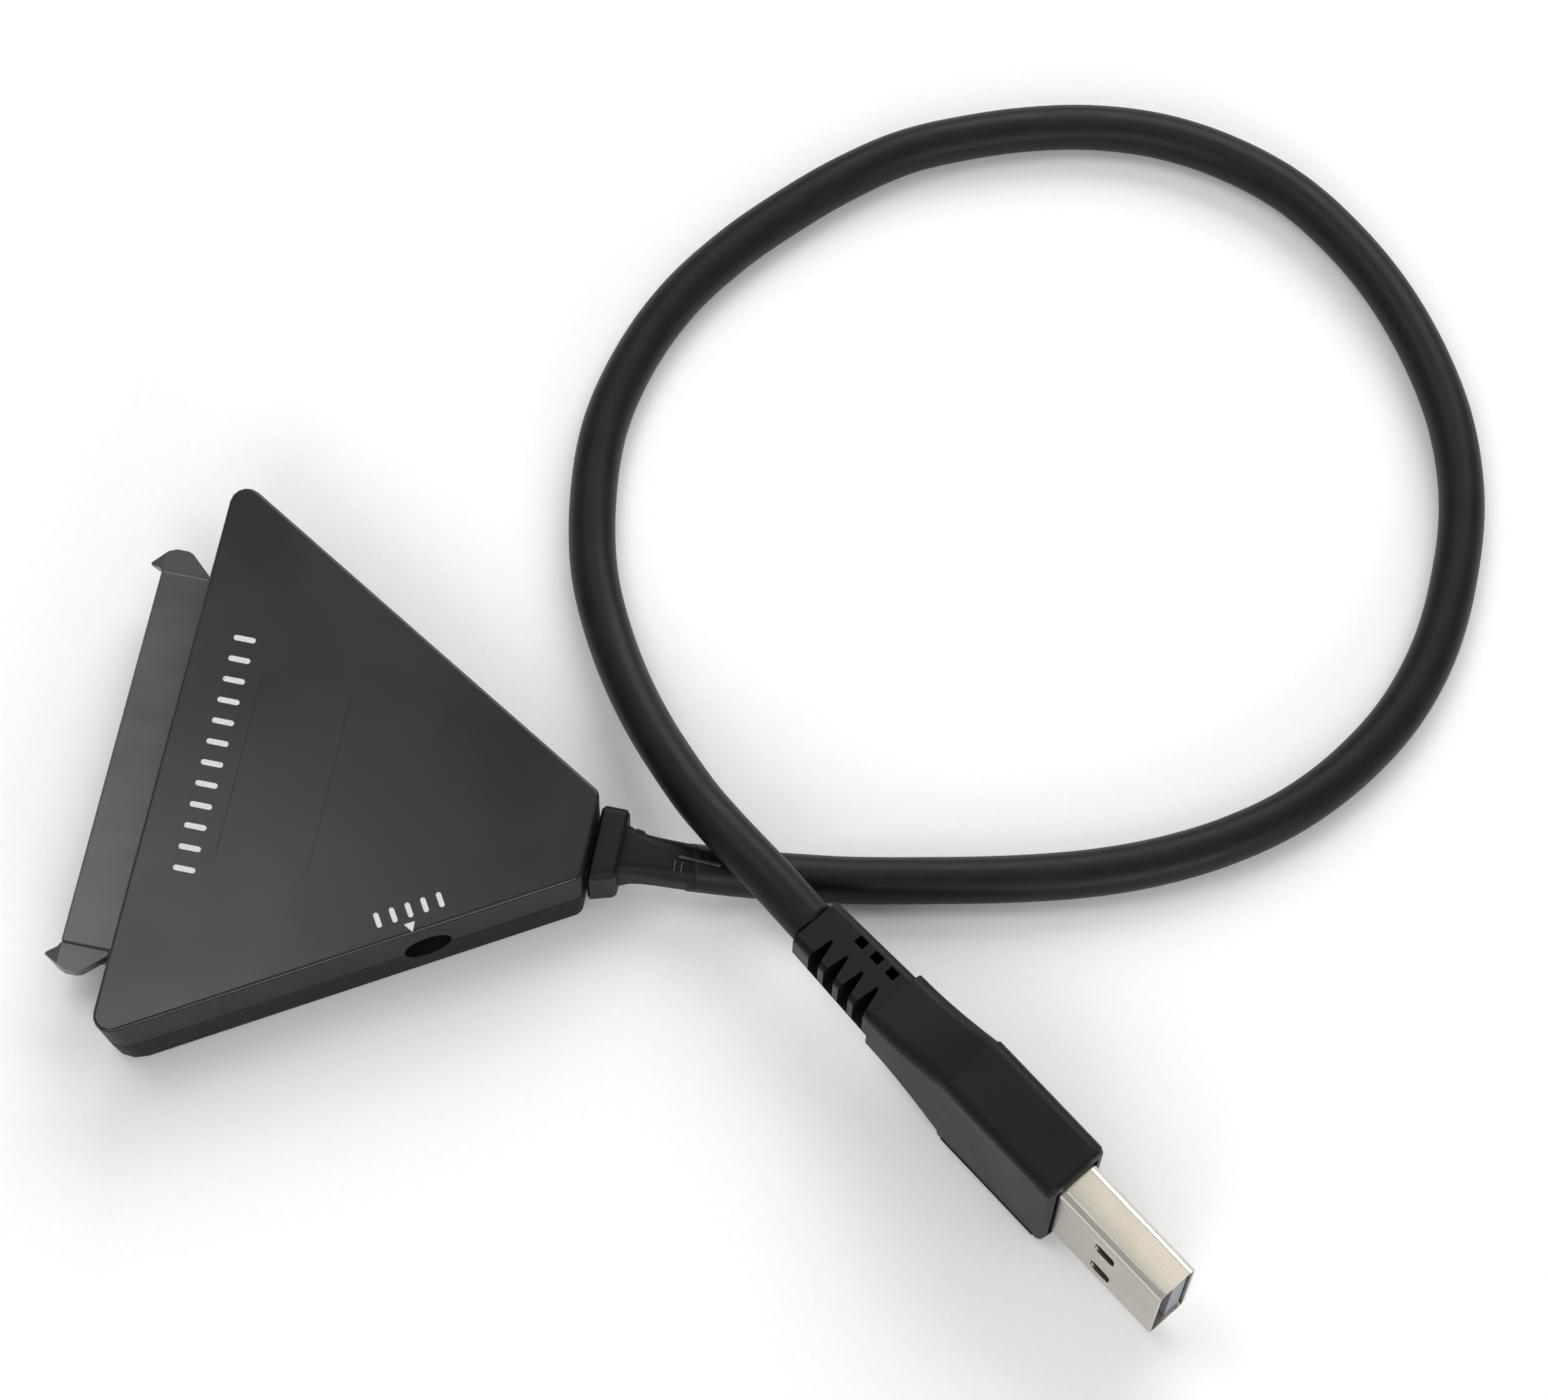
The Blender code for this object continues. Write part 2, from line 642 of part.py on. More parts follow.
def make_top_cover(openings):
    """Upper cover: roof with its recess, walls down to the seam, and sockets over the posts."""
    seam = SEAM_HEIGHT + SEAM_GAP / 2
    rings = rim_rings(HOUSING_HEIGHT, TOP_EDGE_RADIUS, 1.0) + [housing_ring(seam)]
    cover = skin_through("top_cover", rings)
    cavity = make_cutter(flat_solid(
        "cut_top_cavity", housing_outline(HOUSING_WALL, NOSE_WALL), seam - OVERCUT, ROOF_Z))
    rebate_inset = HOUSING_WALL - LIP_THICKNESS - LIP_CLEARANCE
    rebate_nose = NOSE_WALL - LIP_THICKNESS - LIP_CLEARANCE
    rebate = make_cutter(flat_solid(
        "cut_lip_rebate", housing_outline(rebate_inset, rebate_nose), seam - OVERCUT,
        SEAM_HEIGHT + LIP_HEIGHT + SEAT_GAP))
    recess_x = BACK_X + RECESS_FROM_BACK
    recess = make_cutter(flat_solid(
        "cut_roof_recess", rounded_rectangle(
            (recess_x, -RECESS_LENGTH / 2), (recess_x + RECESS_WIDTH, RECESS_LENGTH / 2),
            RECESS_CORNER_RADIUS), HOUSING_HEIGHT - RECESS_DEPTH, HOUSING_HEIGHT + OVERCUT))
    cut(cover, cavity, rebate, *openings, recess)
    socket_low = BOARD_TOP + SEAT_GAP
    for index, place in enumerate(post_places(), start=1):
        boss = make_cutter(post(
            f"boss_{index}", place, POST_RADIUS, socket_low, ROOF_Z + ROOF_THICKNESS / 2))
        socket = make_cutter(post(
            f"cut_socket_{index}", place, POST_PIN_RADIUS + SEAT_GAP, socket_low - OVERCUT,
            BOARD_TOP + POST_PIN_LENGTH + SEAT_GAP))
        join(cover, boss)
        cut(cover, socket)
    return make_part(cover, "housing_plastic")


def make_bottom_cover(openings):
    """Lower cover: floor, walls up to the seam, inner lip and the posts under the board."""
    seam = SEAM_HEIGHT - SEAM_GAP / 2
    rings = rim_rings(0.0, BOTTOM_EDGE_RADIUS, -1.0) + [housing_ring(seam)]
    cover = skin_through("bottom_cover", rings)
    lip_inset = HOUSING_WALL - LIP_THICKNESS
    lip = make_cutter(flat_solid(
        "add_lip", housing_outline(lip_inset, NOSE_WALL - LIP_THICKNESS), seam - OVERCUT,
        SEAM_HEIGHT + LIP_HEIGHT))
    cavity = make_cutter(flat_solid(
        "cut_bottom_cavity", housing_outline(HOUSING_WALL, NOSE_WALL), FLOOR_Z,
        HOUSING_HEIGHT))
    join(cover, lip)
    cut(cover, cavity, *openings)
    for index, place in enumerate(post_places(), start=1):
        shoulder = make_cutter(post(
            f"post_{index}", place, POST_RADIUS, FLOOR_Z / 2, BOARD_BOTTOM - SEAT_GAP))
        pin = make_cutter(post(
            f"post_pin_{index}", place, POST_PIN_RADIUS, BOARD_BOTTOM - OVERCUT,
            BOARD_TOP + POST_PIN_LENGTH))
        join(cover, shoulder, pin)
    return make_part(cover, "housing_plastic")


# SATA receptacle

def contact_places():
    """Where the contacts stand along Y: the data segment on +Y, the power segment on -Y."""
    span = (SIGNAL_COUNT + POWER_COUNT - 2) * CONTACT_PITCH + SEGMENT_GAP
    signal = [span / 2 - index * CONTACT_PITCH for index in range(SIGNAL_COUNT)]
    first_power = signal[-1] - SEGMENT_GAP
    power = [first_power - index * CONTACT_PITCH for index in range(POWER_COUNT)]
    return signal, power


def slot_cutters(name, places):
    """The L-shaped slot of one segment: a wide slot and the key's foot at its +Y end."""
    low_y = min(places) - SLOT_END_MARGIN
    high_y = max(places) + SLOT_END_MARGIN
    front = FACE_X - OVERCUT
    deep = FACE_X + SLOT_DEPTH
    slot = box(f"cut_{name}_slot", (front, low_y, SLOT_LOW), (deep, high_y, SLOT_HIGH))
    key = box(
        f"cut_{name}_key", (front, high_y - KEY_WIDTH, SLOT_LOW - KEY_DROP),
        (deep, high_y, SLOT_HIGH - SLOT_OPENING / 2))
    return make_cutter(slot), make_cutter(key)


def ear_outline():
    """Plan outline of the +Y ear, from the block's end round its flare to its pointed nose."""
    end = INSULATOR_LENGTH / 2
    root = BACK_X - 0.7 * MM
    nose = BACK_X - EAR_REACH
    inside = end - 0.5 * MM
    return [
        (root, inside), (root, end + 0.4 * MM), (root - 2.0 * MM, end + EAR_SPREAD * 0.93),
        (root - 2.5 * MM, end + EAR_SPREAD), (FACE_X + 0.9 * MM, end + EAR_SPREAD),
        (FACE_X + 0.2 * MM, end + EAR_SPREAD * 0.87), (nose, end + EAR_SPREAD * 0.42),
        (nose + 0.15 * MM, end + EAR_SPREAD * 0.33), (FACE_X - 0.25 * MM, end + 0.35 * MM),
        (FACE_X + 0.3 * MM, inside)]


def mirrored(outline):
    """An outline turned over in Y."""
    return [(x, -y) for x, y in reversed(outline)]


def make_ear(side):
    """One guide ear as a tool to join, its nose sloping down ahead of the block's face."""
    name = "plus" if side > 0 else "minus"
    outline = ear_outline() if side > 0 else mirrored(ear_outline())
    high = RECEPTACLE_HEIGHT + INSULATOR_HEIGHT / 2 - EAR_STEP
    ear = make_cutter(flat_solid(f"ear_{name}", outline, high - EAR_THICKNESS, high))
    nose = BACK_X - EAR_REACH
    slope = [
        (FACE_X + 0.1 * MM, high), (nose, high - EAR_NOSE_DROP),
        (nose - OVERCUT, high - EAR_NOSE_DROP), (nose - OVERCUT, high + OVERCUT),
        (FACE_X + 0.1 * MM, high + OVERCUT)]
    reach = INSULATOR_LENGTH / 2 + 2 * EAR_SPREAD
    return cut(ear, make_cutter(flat_solid(
        f"cut_ear_slope_{name}", slope, -reach, reach, upright=True)))


def guide_grooves():
    """The grooves under the ears, where a drive's guide posts run along the block's ends."""
    end = INSULATOR_LENGTH / 2
    high = RECEPTACLE_HEIGHT + INSULATOR_HEIGHT / 2 - EAR_STEP - EAR_THICKNESS
    return make_cutter(boxes("cut_guide_grooves", [
        ((FACE_X - OVERCUT, side * end - GUIDE_GROOVE_DEPTH, high - GUIDE_GROOVE_HEIGHT),
         (BACK_X - 0.7 * MM, side * end + GUIDE_GROOVE_DEPTH, high))
        for side in (1, -1)]))


def make_sata_insulator():
    """The moulded receptacle: block, flange behind the wall, ears, slots and contact channels."""
    half = INSULATOR_LENGTH / 2
    rise = INSULATOR_HEIGHT / 2
    block = box(
        "sata_insulator", (FACE_X, -half, RECEPTACLE_HEIGHT - rise),
        (REAR_X, half, RECEPTACLE_HEIGHT + rise))
    round_edges(block, INSULATOR_EDGE)
    flange = make_cutter(box(
        "flange", (BACK_X + HOUSING_WALL + SEAT_GAP, -half - INSULATOR_FLANGE,
                   RECEPTACLE_HEIGHT - rise + SEAT_GAP),
        (REAR_X - SEAT_GAP, half + INSULATOR_FLANGE, RECEPTACLE_HEIGHT + rise - SEAT_GAP)))
    join(block, flange, make_ear(1), make_ear(-1))
    cut(block, guide_grooves())
    signal, power = contact_places()
    cut(block, *slot_cutters("signal", signal), *slot_cutters("power", power))
    channels = boxes("cut_contact_channels", [
        ((FACE_X + CHANNEL_START, y - CHANNEL_WIDTH / 2, SLOT_HIGH - SLOT_OPENING / 2),
         (REAR_X + OVERCUT, y + CHANNEL_WIDTH / 2, SLOT_HIGH + CHANNEL_DEPTH))
        for y in signal + power])
    cut(block, make_cutter(channels))
    return make_part(block, "receptacle_plastic")


def make_sata_contacts():
    """The spring contacts, all of one bent shape: a bump in the slot and a tail on the board."""
    rest = SLOT_HIGH + CHANNEL_DEPTH - SLIDE_GAP - CONTACT_THICKNESS
    bump = SLOT_HIGH - 0.2 * MM
    foot = BOARD_TOP + SOLDER_GAP + CONTACT_THICKNESS / 2
    line = [
        (FACE_X + 0.95 * MM, rest), (FACE_X + 1.7 * MM, rest - 0.1 * MM), (FACE_X + 2.7 * MM, bump),
        (FACE_X + 3.8 * MM, rest - 0.05 * MM), (REAR_X + 0.6 * MM, rest - 0.05 * MM),
        (REAR_X + 1.0 * MM, rest - 0.4 * MM), (REAR_X + 1.3 * MM, foot + 0.15 * MM),
        (REAR_X + 1.6 * MM, foot), (REAR_X + CONTACT_TAIL, foot)]
    outline = strip_outline(line, CONTACT_THICKNESS)
    signal, power = contact_places()
    shape = flat_solid("contact", outline, -CONTACT_WIDTH / 2, CONTACT_WIDTH / 2, upright=True)
    for kind, places in (("signal", signal), ("power", power)):
        for index, y in enumerate(places, start=1):
            contact = bpy.data.objects.new(f"sata_{kind}_contact_{index}", shape.data)
            contact.matrix_world = shape.matrix_world
            contact.location.y = y
            make_part(contact, "contact_gold")
    bpy.data.objects.remove(shape)


# Circuit board

def make_circuit_board(jack_place):
    """The board: between the slanted walls, notched for the jack and drilled for the posts."""
    start = REAR_X + SEAT_GAP - BACK_X
    end = BOARD_END_X - BACK_X
    outline = tapered_outline(
        start, end, HOUSING_WALL + BOARD_MARGIN, BOARD_CORNER_RADIUS, BOARD_CORNER_RADIUS)
    board = flat_solid("circuit_board", outline, BOARD_BOTTOM, BOARD_TOP)
    notch_half = JACK_BODY_WIDTH / 2 + SEAT_GAP
    notch = make_cutter(box(
        "cut_jack_notch", (0.0, -notch_half, -HOUSING_HEIGHT),
        (JACK_REAR + JACK_TAIL + SEAT_GAP, notch_half, HOUSING_HEIGHT)), jack_place)
    cut(board, notch)
    for index, place in enumerate(post_places(), start=1):
        cut(board, make_cutter(post(
            f"cut_board_hole_{index}", place, POST_PIN_RADIUS + SEAT_GAP,
            BOARD_BOTTOM - OVERCUT, BOARD_TOP + OVERCUT)))
    return make_part(board, "board_laminate")


def beside_post(length):
    """How far from the middle a piece of that length stands, inside a post behind the slot."""
    return post_places()[0][1] - POST_RADIUS - POST_CLEARANCE - length / 2


def bridge_chip_offset():
    """The controller chip's place in Y, next to the flash chip."""
    flash = beside_post(FLASH_CHIP_SIZE[1])
    return flash - (FLASH_CHIP_SIZE[1] + BRIDGE_CHIP_SIDE) / 2 - BRIDGE_CHIP_CLEARANCE


def input_capacitor_offset():
    """The input capacitor's place in Y, next to the regulator."""
    regulator = -beside_post(REGULATOR_SIZE[1])
    return regulator + (REGULATOR_SIZE[1] + CAPACITOR_SIZE[1]) / 2 + CAPACITOR_CLEARANCE


def inductor_offset():
    """The inductor's place in Y, next to the input capacitor."""
    reach = (CAPACITOR_SIZE[1] + INDUCTOR_SIDE) / 2 + CAPACITOR_CLEARANCE
    return input_capacitor_offset() + reach


def crystal_from_back():
    """The crystal's place, clear of the post near the nose."""
    return HOUSING_DEPTH - NOSE_POST_FROM_NOSE - POST_RADIUS - CRYSTAL_SIZE[0] / 2 - CRYSTAL_GAP


def bridge_chip_from_back():
    """The controller chip's place, behind the crystal."""
    return crystal_from_back() - (CRYSTAL_SIZE[0] + BRIDGE_CHIP_SIDE) / 2 - CHIP_GAP


def on_board(from_back, y, size, clearance=SOLDER_GAP):
    """Opposite corners of a component that stands on the board, by its middle and its size."""
    x = BACK_X + from_back
    low = (x - size[0] / 2, y - size[1] / 2, BOARD_TOP + clearance)
    high = (x + size[0] / 2, y + size[1] / 2, BOARD_TOP + clearance + size[2])
    return low, high


def make_bridge_chip():
    """Square controller chip with a small round mark in its first corner."""
    size = (BRIDGE_CHIP_SIDE, BRIDGE_CHIP_SIDE, BRIDGE_CHIP_HEIGHT)
    low, high = on_board(bridge_chip_from_back(), bridge_chip_offset(), size)
    chip = round_edges(box("bridge_chip", low, high), 0.12 * MM, segments=1)
    mark = cylinder("cut_chip_mark", 0.4 * MM, high[2] - 0.1 * MM, high[2] + OVERCUT, segments=12)
    mark.location.x = low[0] + 1.0 * MM
    mark.location.y = low[1] + 1.0 * MM
    cut(chip, make_cutter(mark))
    return make_part(chip, "chip_epoxy")


def make_flash_chip():
    """Eight-legged memory chip: a moulded body with four bent legs on each side."""
    low, high = on_board(
        FLASH_CHIP_FROM_BACK, beside_post(FLASH_CHIP_SIZE[1]), FLASH_CHIP_SIZE,
        SOLDER_GAP + 0.15 * MM)
    chip = round_edges(box("flash_chip", low, high), 0.15 * MM, segments=1)
    middle_x = (low[0] + high[0]) / 2
    middle_y = (low[1] + high[1]) / 2
    body_half = (high[0] - low[0]) / 2
    leg_line = [
        (body_half - 0.3 * MM, low[2] + 0.6 * MM), (body_half + 0.35 * MM, low[2] + 0.6 * MM),
        (body_half + 0.6 * MM, BOARD_TOP + SOLDER_GAP + 0.1 * MM),
        (body_half + 1.05 * MM, BOARD_TOP + SOLDER_GAP + 0.1 * MM)]
    for side in (1, -1):
        line = [(middle_x + side * x, z) for x, z in leg_line]
        for index in range(4):
            y = middle_y + (index - 1.5) * FLASH_LEG_PITCH
            leg = flat_solid(
                f"leg_{side}_{index}", strip_outline(line, 0.2 * MM), y - 0.2 * MM, y + 0.2 * MM,
                upright=True)
            join(chip, make_cutter(leg))
    return make_part(chip, "chip_epoxy")


def make_small_components():
    """Crystal, inductor, regulator and capacitors, each a rounded block on the board."""
    chip = bridge_chip_offset()
    regulator = -beside_post(REGULATOR_SIZE[1])
    beside_inductor = (
        inductor_offset() + (INDUCTOR_SIDE + CAPACITOR_SIZE[1]) / 2 + CAPACITOR_CLEARANCE)
    beside_chip = chip - (BRIDGE_CHIP_SIDE + CAPACITOR_SIZE[1]) / 2 - CAPACITOR_CLEARANCE
    blocks = [
        ("crystal_can", crystal_from_back(), chip - CRYSTAL_SHIFT, CRYSTAL_SIZE, 0.3 * MM,
         "can_steel"),
        ("regulator_chip", REGULATOR_FROM_BACK, regulator, REGULATOR_SIZE, 0.15 * MM,
         "chip_epoxy"),
        ("capacitor_1", CAPACITOR_FROM_BACK, beside_inductor, CAPACITOR_SIZE, 0.12 * MM,
         "capacitor_ceramic"),
        ("capacitor_2", REGULATOR_FROM_BACK + CAPACITOR_SHIFT, input_capacitor_offset(),
         CAPACITOR_SIZE, 0.12 * MM, "capacitor_ceramic"),
        ("capacitor_3", bridge_chip_from_back(), beside_chip, CAPACITOR_SIZE, 0.12 * MM,
         "capacitor_ceramic"),
    ]
    for name, from_back, y, size, edge, finish_name in blocks:
        low, high = on_board(from_back, y, size)
        make_part(round_edges(box(name, low, high), edge), finish_name)


def make_power_inductor():
    """Shielded coil: a square base with a round ferrite drum on it."""
    low, high = on_board(
        INDUCTOR_FROM_BACK, inductor_offset(), (INDUCTOR_SIDE, INDUCTOR_SIDE, 0.7 * MM))
    base = round_edges(box("power_inductor", low, high), 0.2 * MM, segments=1)
    drum = turned("drum", [
        (0.0, INDUCTOR_DRUM_HEIGHT), (INDUCTOR_DRUM_RADIUS - 0.35 * MM, INDUCTOR_DRUM_HEIGHT),
        (INDUCTOR_DRUM_RADIUS, INDUCTOR_DRUM_HEIGHT - 0.3 * MM),
        (INDUCTOR_DRUM_RADIUS, -0.4 * MM), (0.0, -0.4 * MM)])
    drum.location = ((low[0] + high[0]) / 2, (low[1] + high[1]) / 2, high[2])
    join(base, make_cutter(drum))
    return make_part(base, "ferrite")


# Power jack, in a frame whose +X runs inwards from the outer wall face

def make_jack_place():
    """The jack's place on the -Y side wall, turned so that its +X points inwards."""
    slope = side_slope()
    location = (BACK_X + JACK_FROM_BACK, -half_width(JACK_FROM_BACK), JACK_HEIGHT)
    return make_place("jack_place", location, math.atan2(1.0, -slope))


def make_dc_jack(jack_place):
    """Jack body with its bore, the centre pin and the side spring."""
    low = FLOOR_Z + SEAT_GAP - JACK_HEIGHT
    high = ROOF_Z - SEAT_GAP - JACK_HEIGHT
    half = JACK_BODY_WIDTH / 2
    body = box("dc_jack_body", (JACK_FRONT, -half, low), (JACK_REAR, half, high))
    round_edges(body, 0.3 * MM, segments=1)
    bore = cylinder(
        "cut_jack_bore", JACK_BORE_RADIUS, JACK_FRONT - OVERCUT, JACK_FRONT + JACK_BORE_DEPTH,
        along="X")
    pin_hole = cylinder(
        "cut_pin_hole", JACK_PIN_RADIUS + SLIDE_GAP, JACK_FRONT + JACK_BORE_DEPTH - OVERCUT,
        JACK_REAR + OVERCUT, along="X", segments=16)
    spring_half = JACK_SPRING_WIDTH / 2 + SLIDE_GAP
    rest = JACK_BORE_RADIUS + SLIDE_GAP + JACK_SPRING_THICKNESS
    slot = box(
        "cut_spring_slot", (JACK_FRONT + 2.2 * MM, JACK_BORE_RADIUS - 0.5 * MM, -spring_half),
        (JACK_REAR + OVERCUT, rest + JACK_SPRING_THICKNESS / 2 + SLIDE_GAP, spring_half))
    for tool in (bore, pin_hole, slot):
        make_cutter(tool, jack_place)
    cut(body, bore, pin_hole, slot)
    make_part(body, "jack_plastic", jack_place)
    tip = JACK_FRONT + JACK_PIN_SETBACK
    end = JACK_REAR + JACK_TAIL
    pin = turned("dc_jack_pin", [
        (0.0, end), (JACK_PIN_RADIUS, end), (JACK_PIN_RADIUS, tip + 0.5 * MM),
        (JACK_PIN_RADIUS * 0.6, tip), (0.0, tip)])
    pin.rotation_euler.y = math.pi / 2
    make_part(pin, "jack_steel", jack_place)
    line = [
        (JACK_FRONT + 2.6 * MM, rest), (JACK_FRONT + 3.6 * MM, rest - 0.2 * MM),
        (JACK_FRONT + 4.8 * MM, JACK_BORE_RADIUS - 0.35 * MM),
        (JACK_FRONT + 6.0 * MM, rest - 0.2 * MM), (JACK_FRONT + 7.0 * MM, rest),
        (JACK_REAR + JACK_TAIL, rest)]
    spring = flat_solid(
        "dc_jack_spring", strip_outline(line, JACK_SPRING_THICKNESS), -JACK_SPRING_WIDTH / 2,
        JACK_SPRING_WIDTH / 2)
    make_part(spring, "jack_steel", jack_place)


# Strain relief and cable

def section(x, middle, half_y, half_z, radius, segments=4, lean=(0.0, 0.0)):
    """A rounded rectangle across X, as a ring of points, leaning by its slopes along Y and Z."""
    outline = rounded_rectangle((-half_y, -half_z), (half_y, half_z), radius, segments)
    return [(x + lean[0] * y + lean[1] * z, middle[0] + y, middle[1] + z) for y, z in outline]


def make_cable_gland():
    """Soft strain relief: inner flange, neck through the wall, tapered collar and sleeve."""
    wall_in = NOSE_X - NOSE_WALL - SEAT_GAP
    collar = NOSE_X + SEAT_GAP
    sleeve = collar + GLAND_COLLAR
    end = sleeve + GLAND_SLEEVE
    middle = (0.0, GLAND_HEIGHT)
    neck = GLAND_NECK_HALF
    flange = (GLAND_FLANGE_HALF_WIDTH, GLAND_FLANGE_HALF_HEIGHT, 0.8 * MM)
    edge = 0.3 * MM
    taper = GLAND_COLLAR_TAPER
    rise = GLAND_HEIGHT + GLAND_COLLAR_RISE
    front = (taper, rise)
    rear = (2 * taper, rise)
    wide = GLAND_COLLAR_HALF_WIDTH
    tall = GLAND_COLLAR_HALF_HEIGHT
    rings = [
        section(GLAND_TAIL_X, middle, *flange), section(wall_in, middle, *flange),
        section(wall_in, middle, neck, neck, 0.8 * MM),
        section(collar, middle, neck, neck, 0.8 * MM),
        section(collar, front, wide - edge, tall - edge, 0.7 * MM),
        section(collar + edge, front, wide, tall, 0.9 * MM),
        section(sleeve - edge, rear, wide - taper, tall, 0.9 * MM),
        section(sleeve, rear, wide - taper - edge, tall - edge, 0.7 * MM)]
    stations = 6
    for step in range(stations + 1):
        share = step / stations
        curl = share ** 2
        half = GLAND_SLEEVE_HALF + GLAND_FLARE * (1.0 - share) ** 6
        offset = (
            GLAND_START_OFFSET + (GLAND_END_OFFSET - GLAND_START_OFFSET) * curl,
            GLAND_HEIGHT - GLAND_END_DROP * curl)
        lean = (-GLAND_END_TURN * curl, GLAND_END_DIP * curl)
        rings.append(section(
            sleeve + GLAND_SLEEVE * share, offset, half, half, (0.9 + 0.5 * share) * MM,
            lean=lean))
    tip = GLAND_SLEEVE_HALF - 0.2 * MM
    rings.append(section(
        end + 0.05 * MM, (GLAND_END_OFFSET, GLAND_HEIGHT - GLAND_END_DROP), tip, tip, 1.3 * MM,
        lean=(-GLAND_END_TURN, GLAND_END_DIP)))
    return make_part(skin_through("cable_gland", rings), "relief_rubber")


def smooth_line(points, count):
    """Points at equal spacing on the smooth curve through the given ones.

    Each span is a Catmull-Rom cubic, whose slope at a point is half the step between its
    neighbours.
    """
    knots = [Vector(point) for point in points]
    fine = []
    for index in range(len(knots) - 1):
        before = knots[max(index - 1, 0)]
        start = knots[index]
        end = knots[index + 1]
        after = knots[min(index + 2, len(knots) - 1)]
        for step in range(12):
            t = step / 12
            fine.append(0.5 * (
                2 * start + (end - before) * t
                + (2 * before - 5 * start + 4 * end - after) * t ** 2
                + (3 * start - before - 3 * end + after) * t ** 3))
    fine.append(knots[-1])
    lengths = [0.0]
    for first, second in zip(fine, fine[1:]):
        lengths.append(lengths[-1] + (second - first).length)
    line = []
    position = 0
    for index in range(count):
        target = lengths[-1] * index / (count - 1)
        while position < len(fine) - 2 and lengths[position + 1] < target:
            position += 1
        share = (target - lengths[position]) / (lengths[position + 1] - lengths[position])
        line.append(fine[position].lerp(fine[position + 1], share))
    return line


def round_line(name, points, diameter, finish_name, resolution=2):
    """A round cable or core along a line of points."""
    curve = bpy.data.curves.new(name, "CURVE")
    curve.dimensions = "3D"
    curve.bevel_depth = diameter / 2
    curve.bevel_resolution = resolution
    curve.use_fill_caps = True
    spline = curve.splines.new("POLY")
    spline.points.add(len(points) - 1)
    for point, place in zip(spline.points, points):
        point.co = (*place, 1.0)
    spline.use_smooth = True
    return make_part(bpy.data.objects.new(name, curve), finish_name)


def make_cable():
    """The cable on the surface, from the strain relief to the plug."""
    route = [(x * MM, y * MM, z * MM) for x, y, z in CABLE_ROUTE_MM]
    round_line("cable", smooth_line(route, CABLE_POINT_COUNT), CABLE_DIAMETER, "cable_jacket", 3)


def make_cores():
    """Three cores to pads on top of the board and three to pads under it."""
    rows = [
        (1, BOARD_TOP, [("wire_power", "core_red"), ("wire_data_minus", "core_white"),
                        ("transmit_pair", "pair_blue")]),
        (-1, BOARD_BOTTOM, [("wire_ground", "core_black"), ("wire_data_plus", "core_green"),
                            ("receive_pair", "pair_orange")]),
    ]
    start_x = GLAND_TAIL_X - SEAT_GAP
    pad_x = BOARD_END_X - CORE_PAD_FROM_BOARD_END
    for side, board_face, cores in rows:
        start_z = GLAND_HEIGHT + side * CORE_ROW_OFFSET
        pad_z = board_face + side * (SOLDER_GAP + CORE_DIAMETER / 2)
        for index, (name, finish_name) in enumerate(cores):
            start_y = (index - 1) * CORE_SPACING
            pad_y = (index - 1) * CORE_PAD_SPACING
            route = [
                (start_x, start_y, start_z), (start_x - 0.6 * MM, start_y, start_z),
                (BOARD_END_X, (start_y + pad_y) / 2, (start_z + pad_z) / 2),
                (pad_x + 1.2 * MM, pad_y, pad_z), (pad_x, pad_y, pad_z)]
            round_line(name, smooth_line(route, 9), CORE_DIAMETER, finish_name)


# USB plug, in a frame whose +X runs to the plug's tip, +Y across its thin side and +Z up

def make_plug_place():
    """The place where the shell leaves the overmould."""
    location = [length * MM for length in PLUG_PLACE_MM]
    return make_place("plug_place", location, PLUG_HEADING)


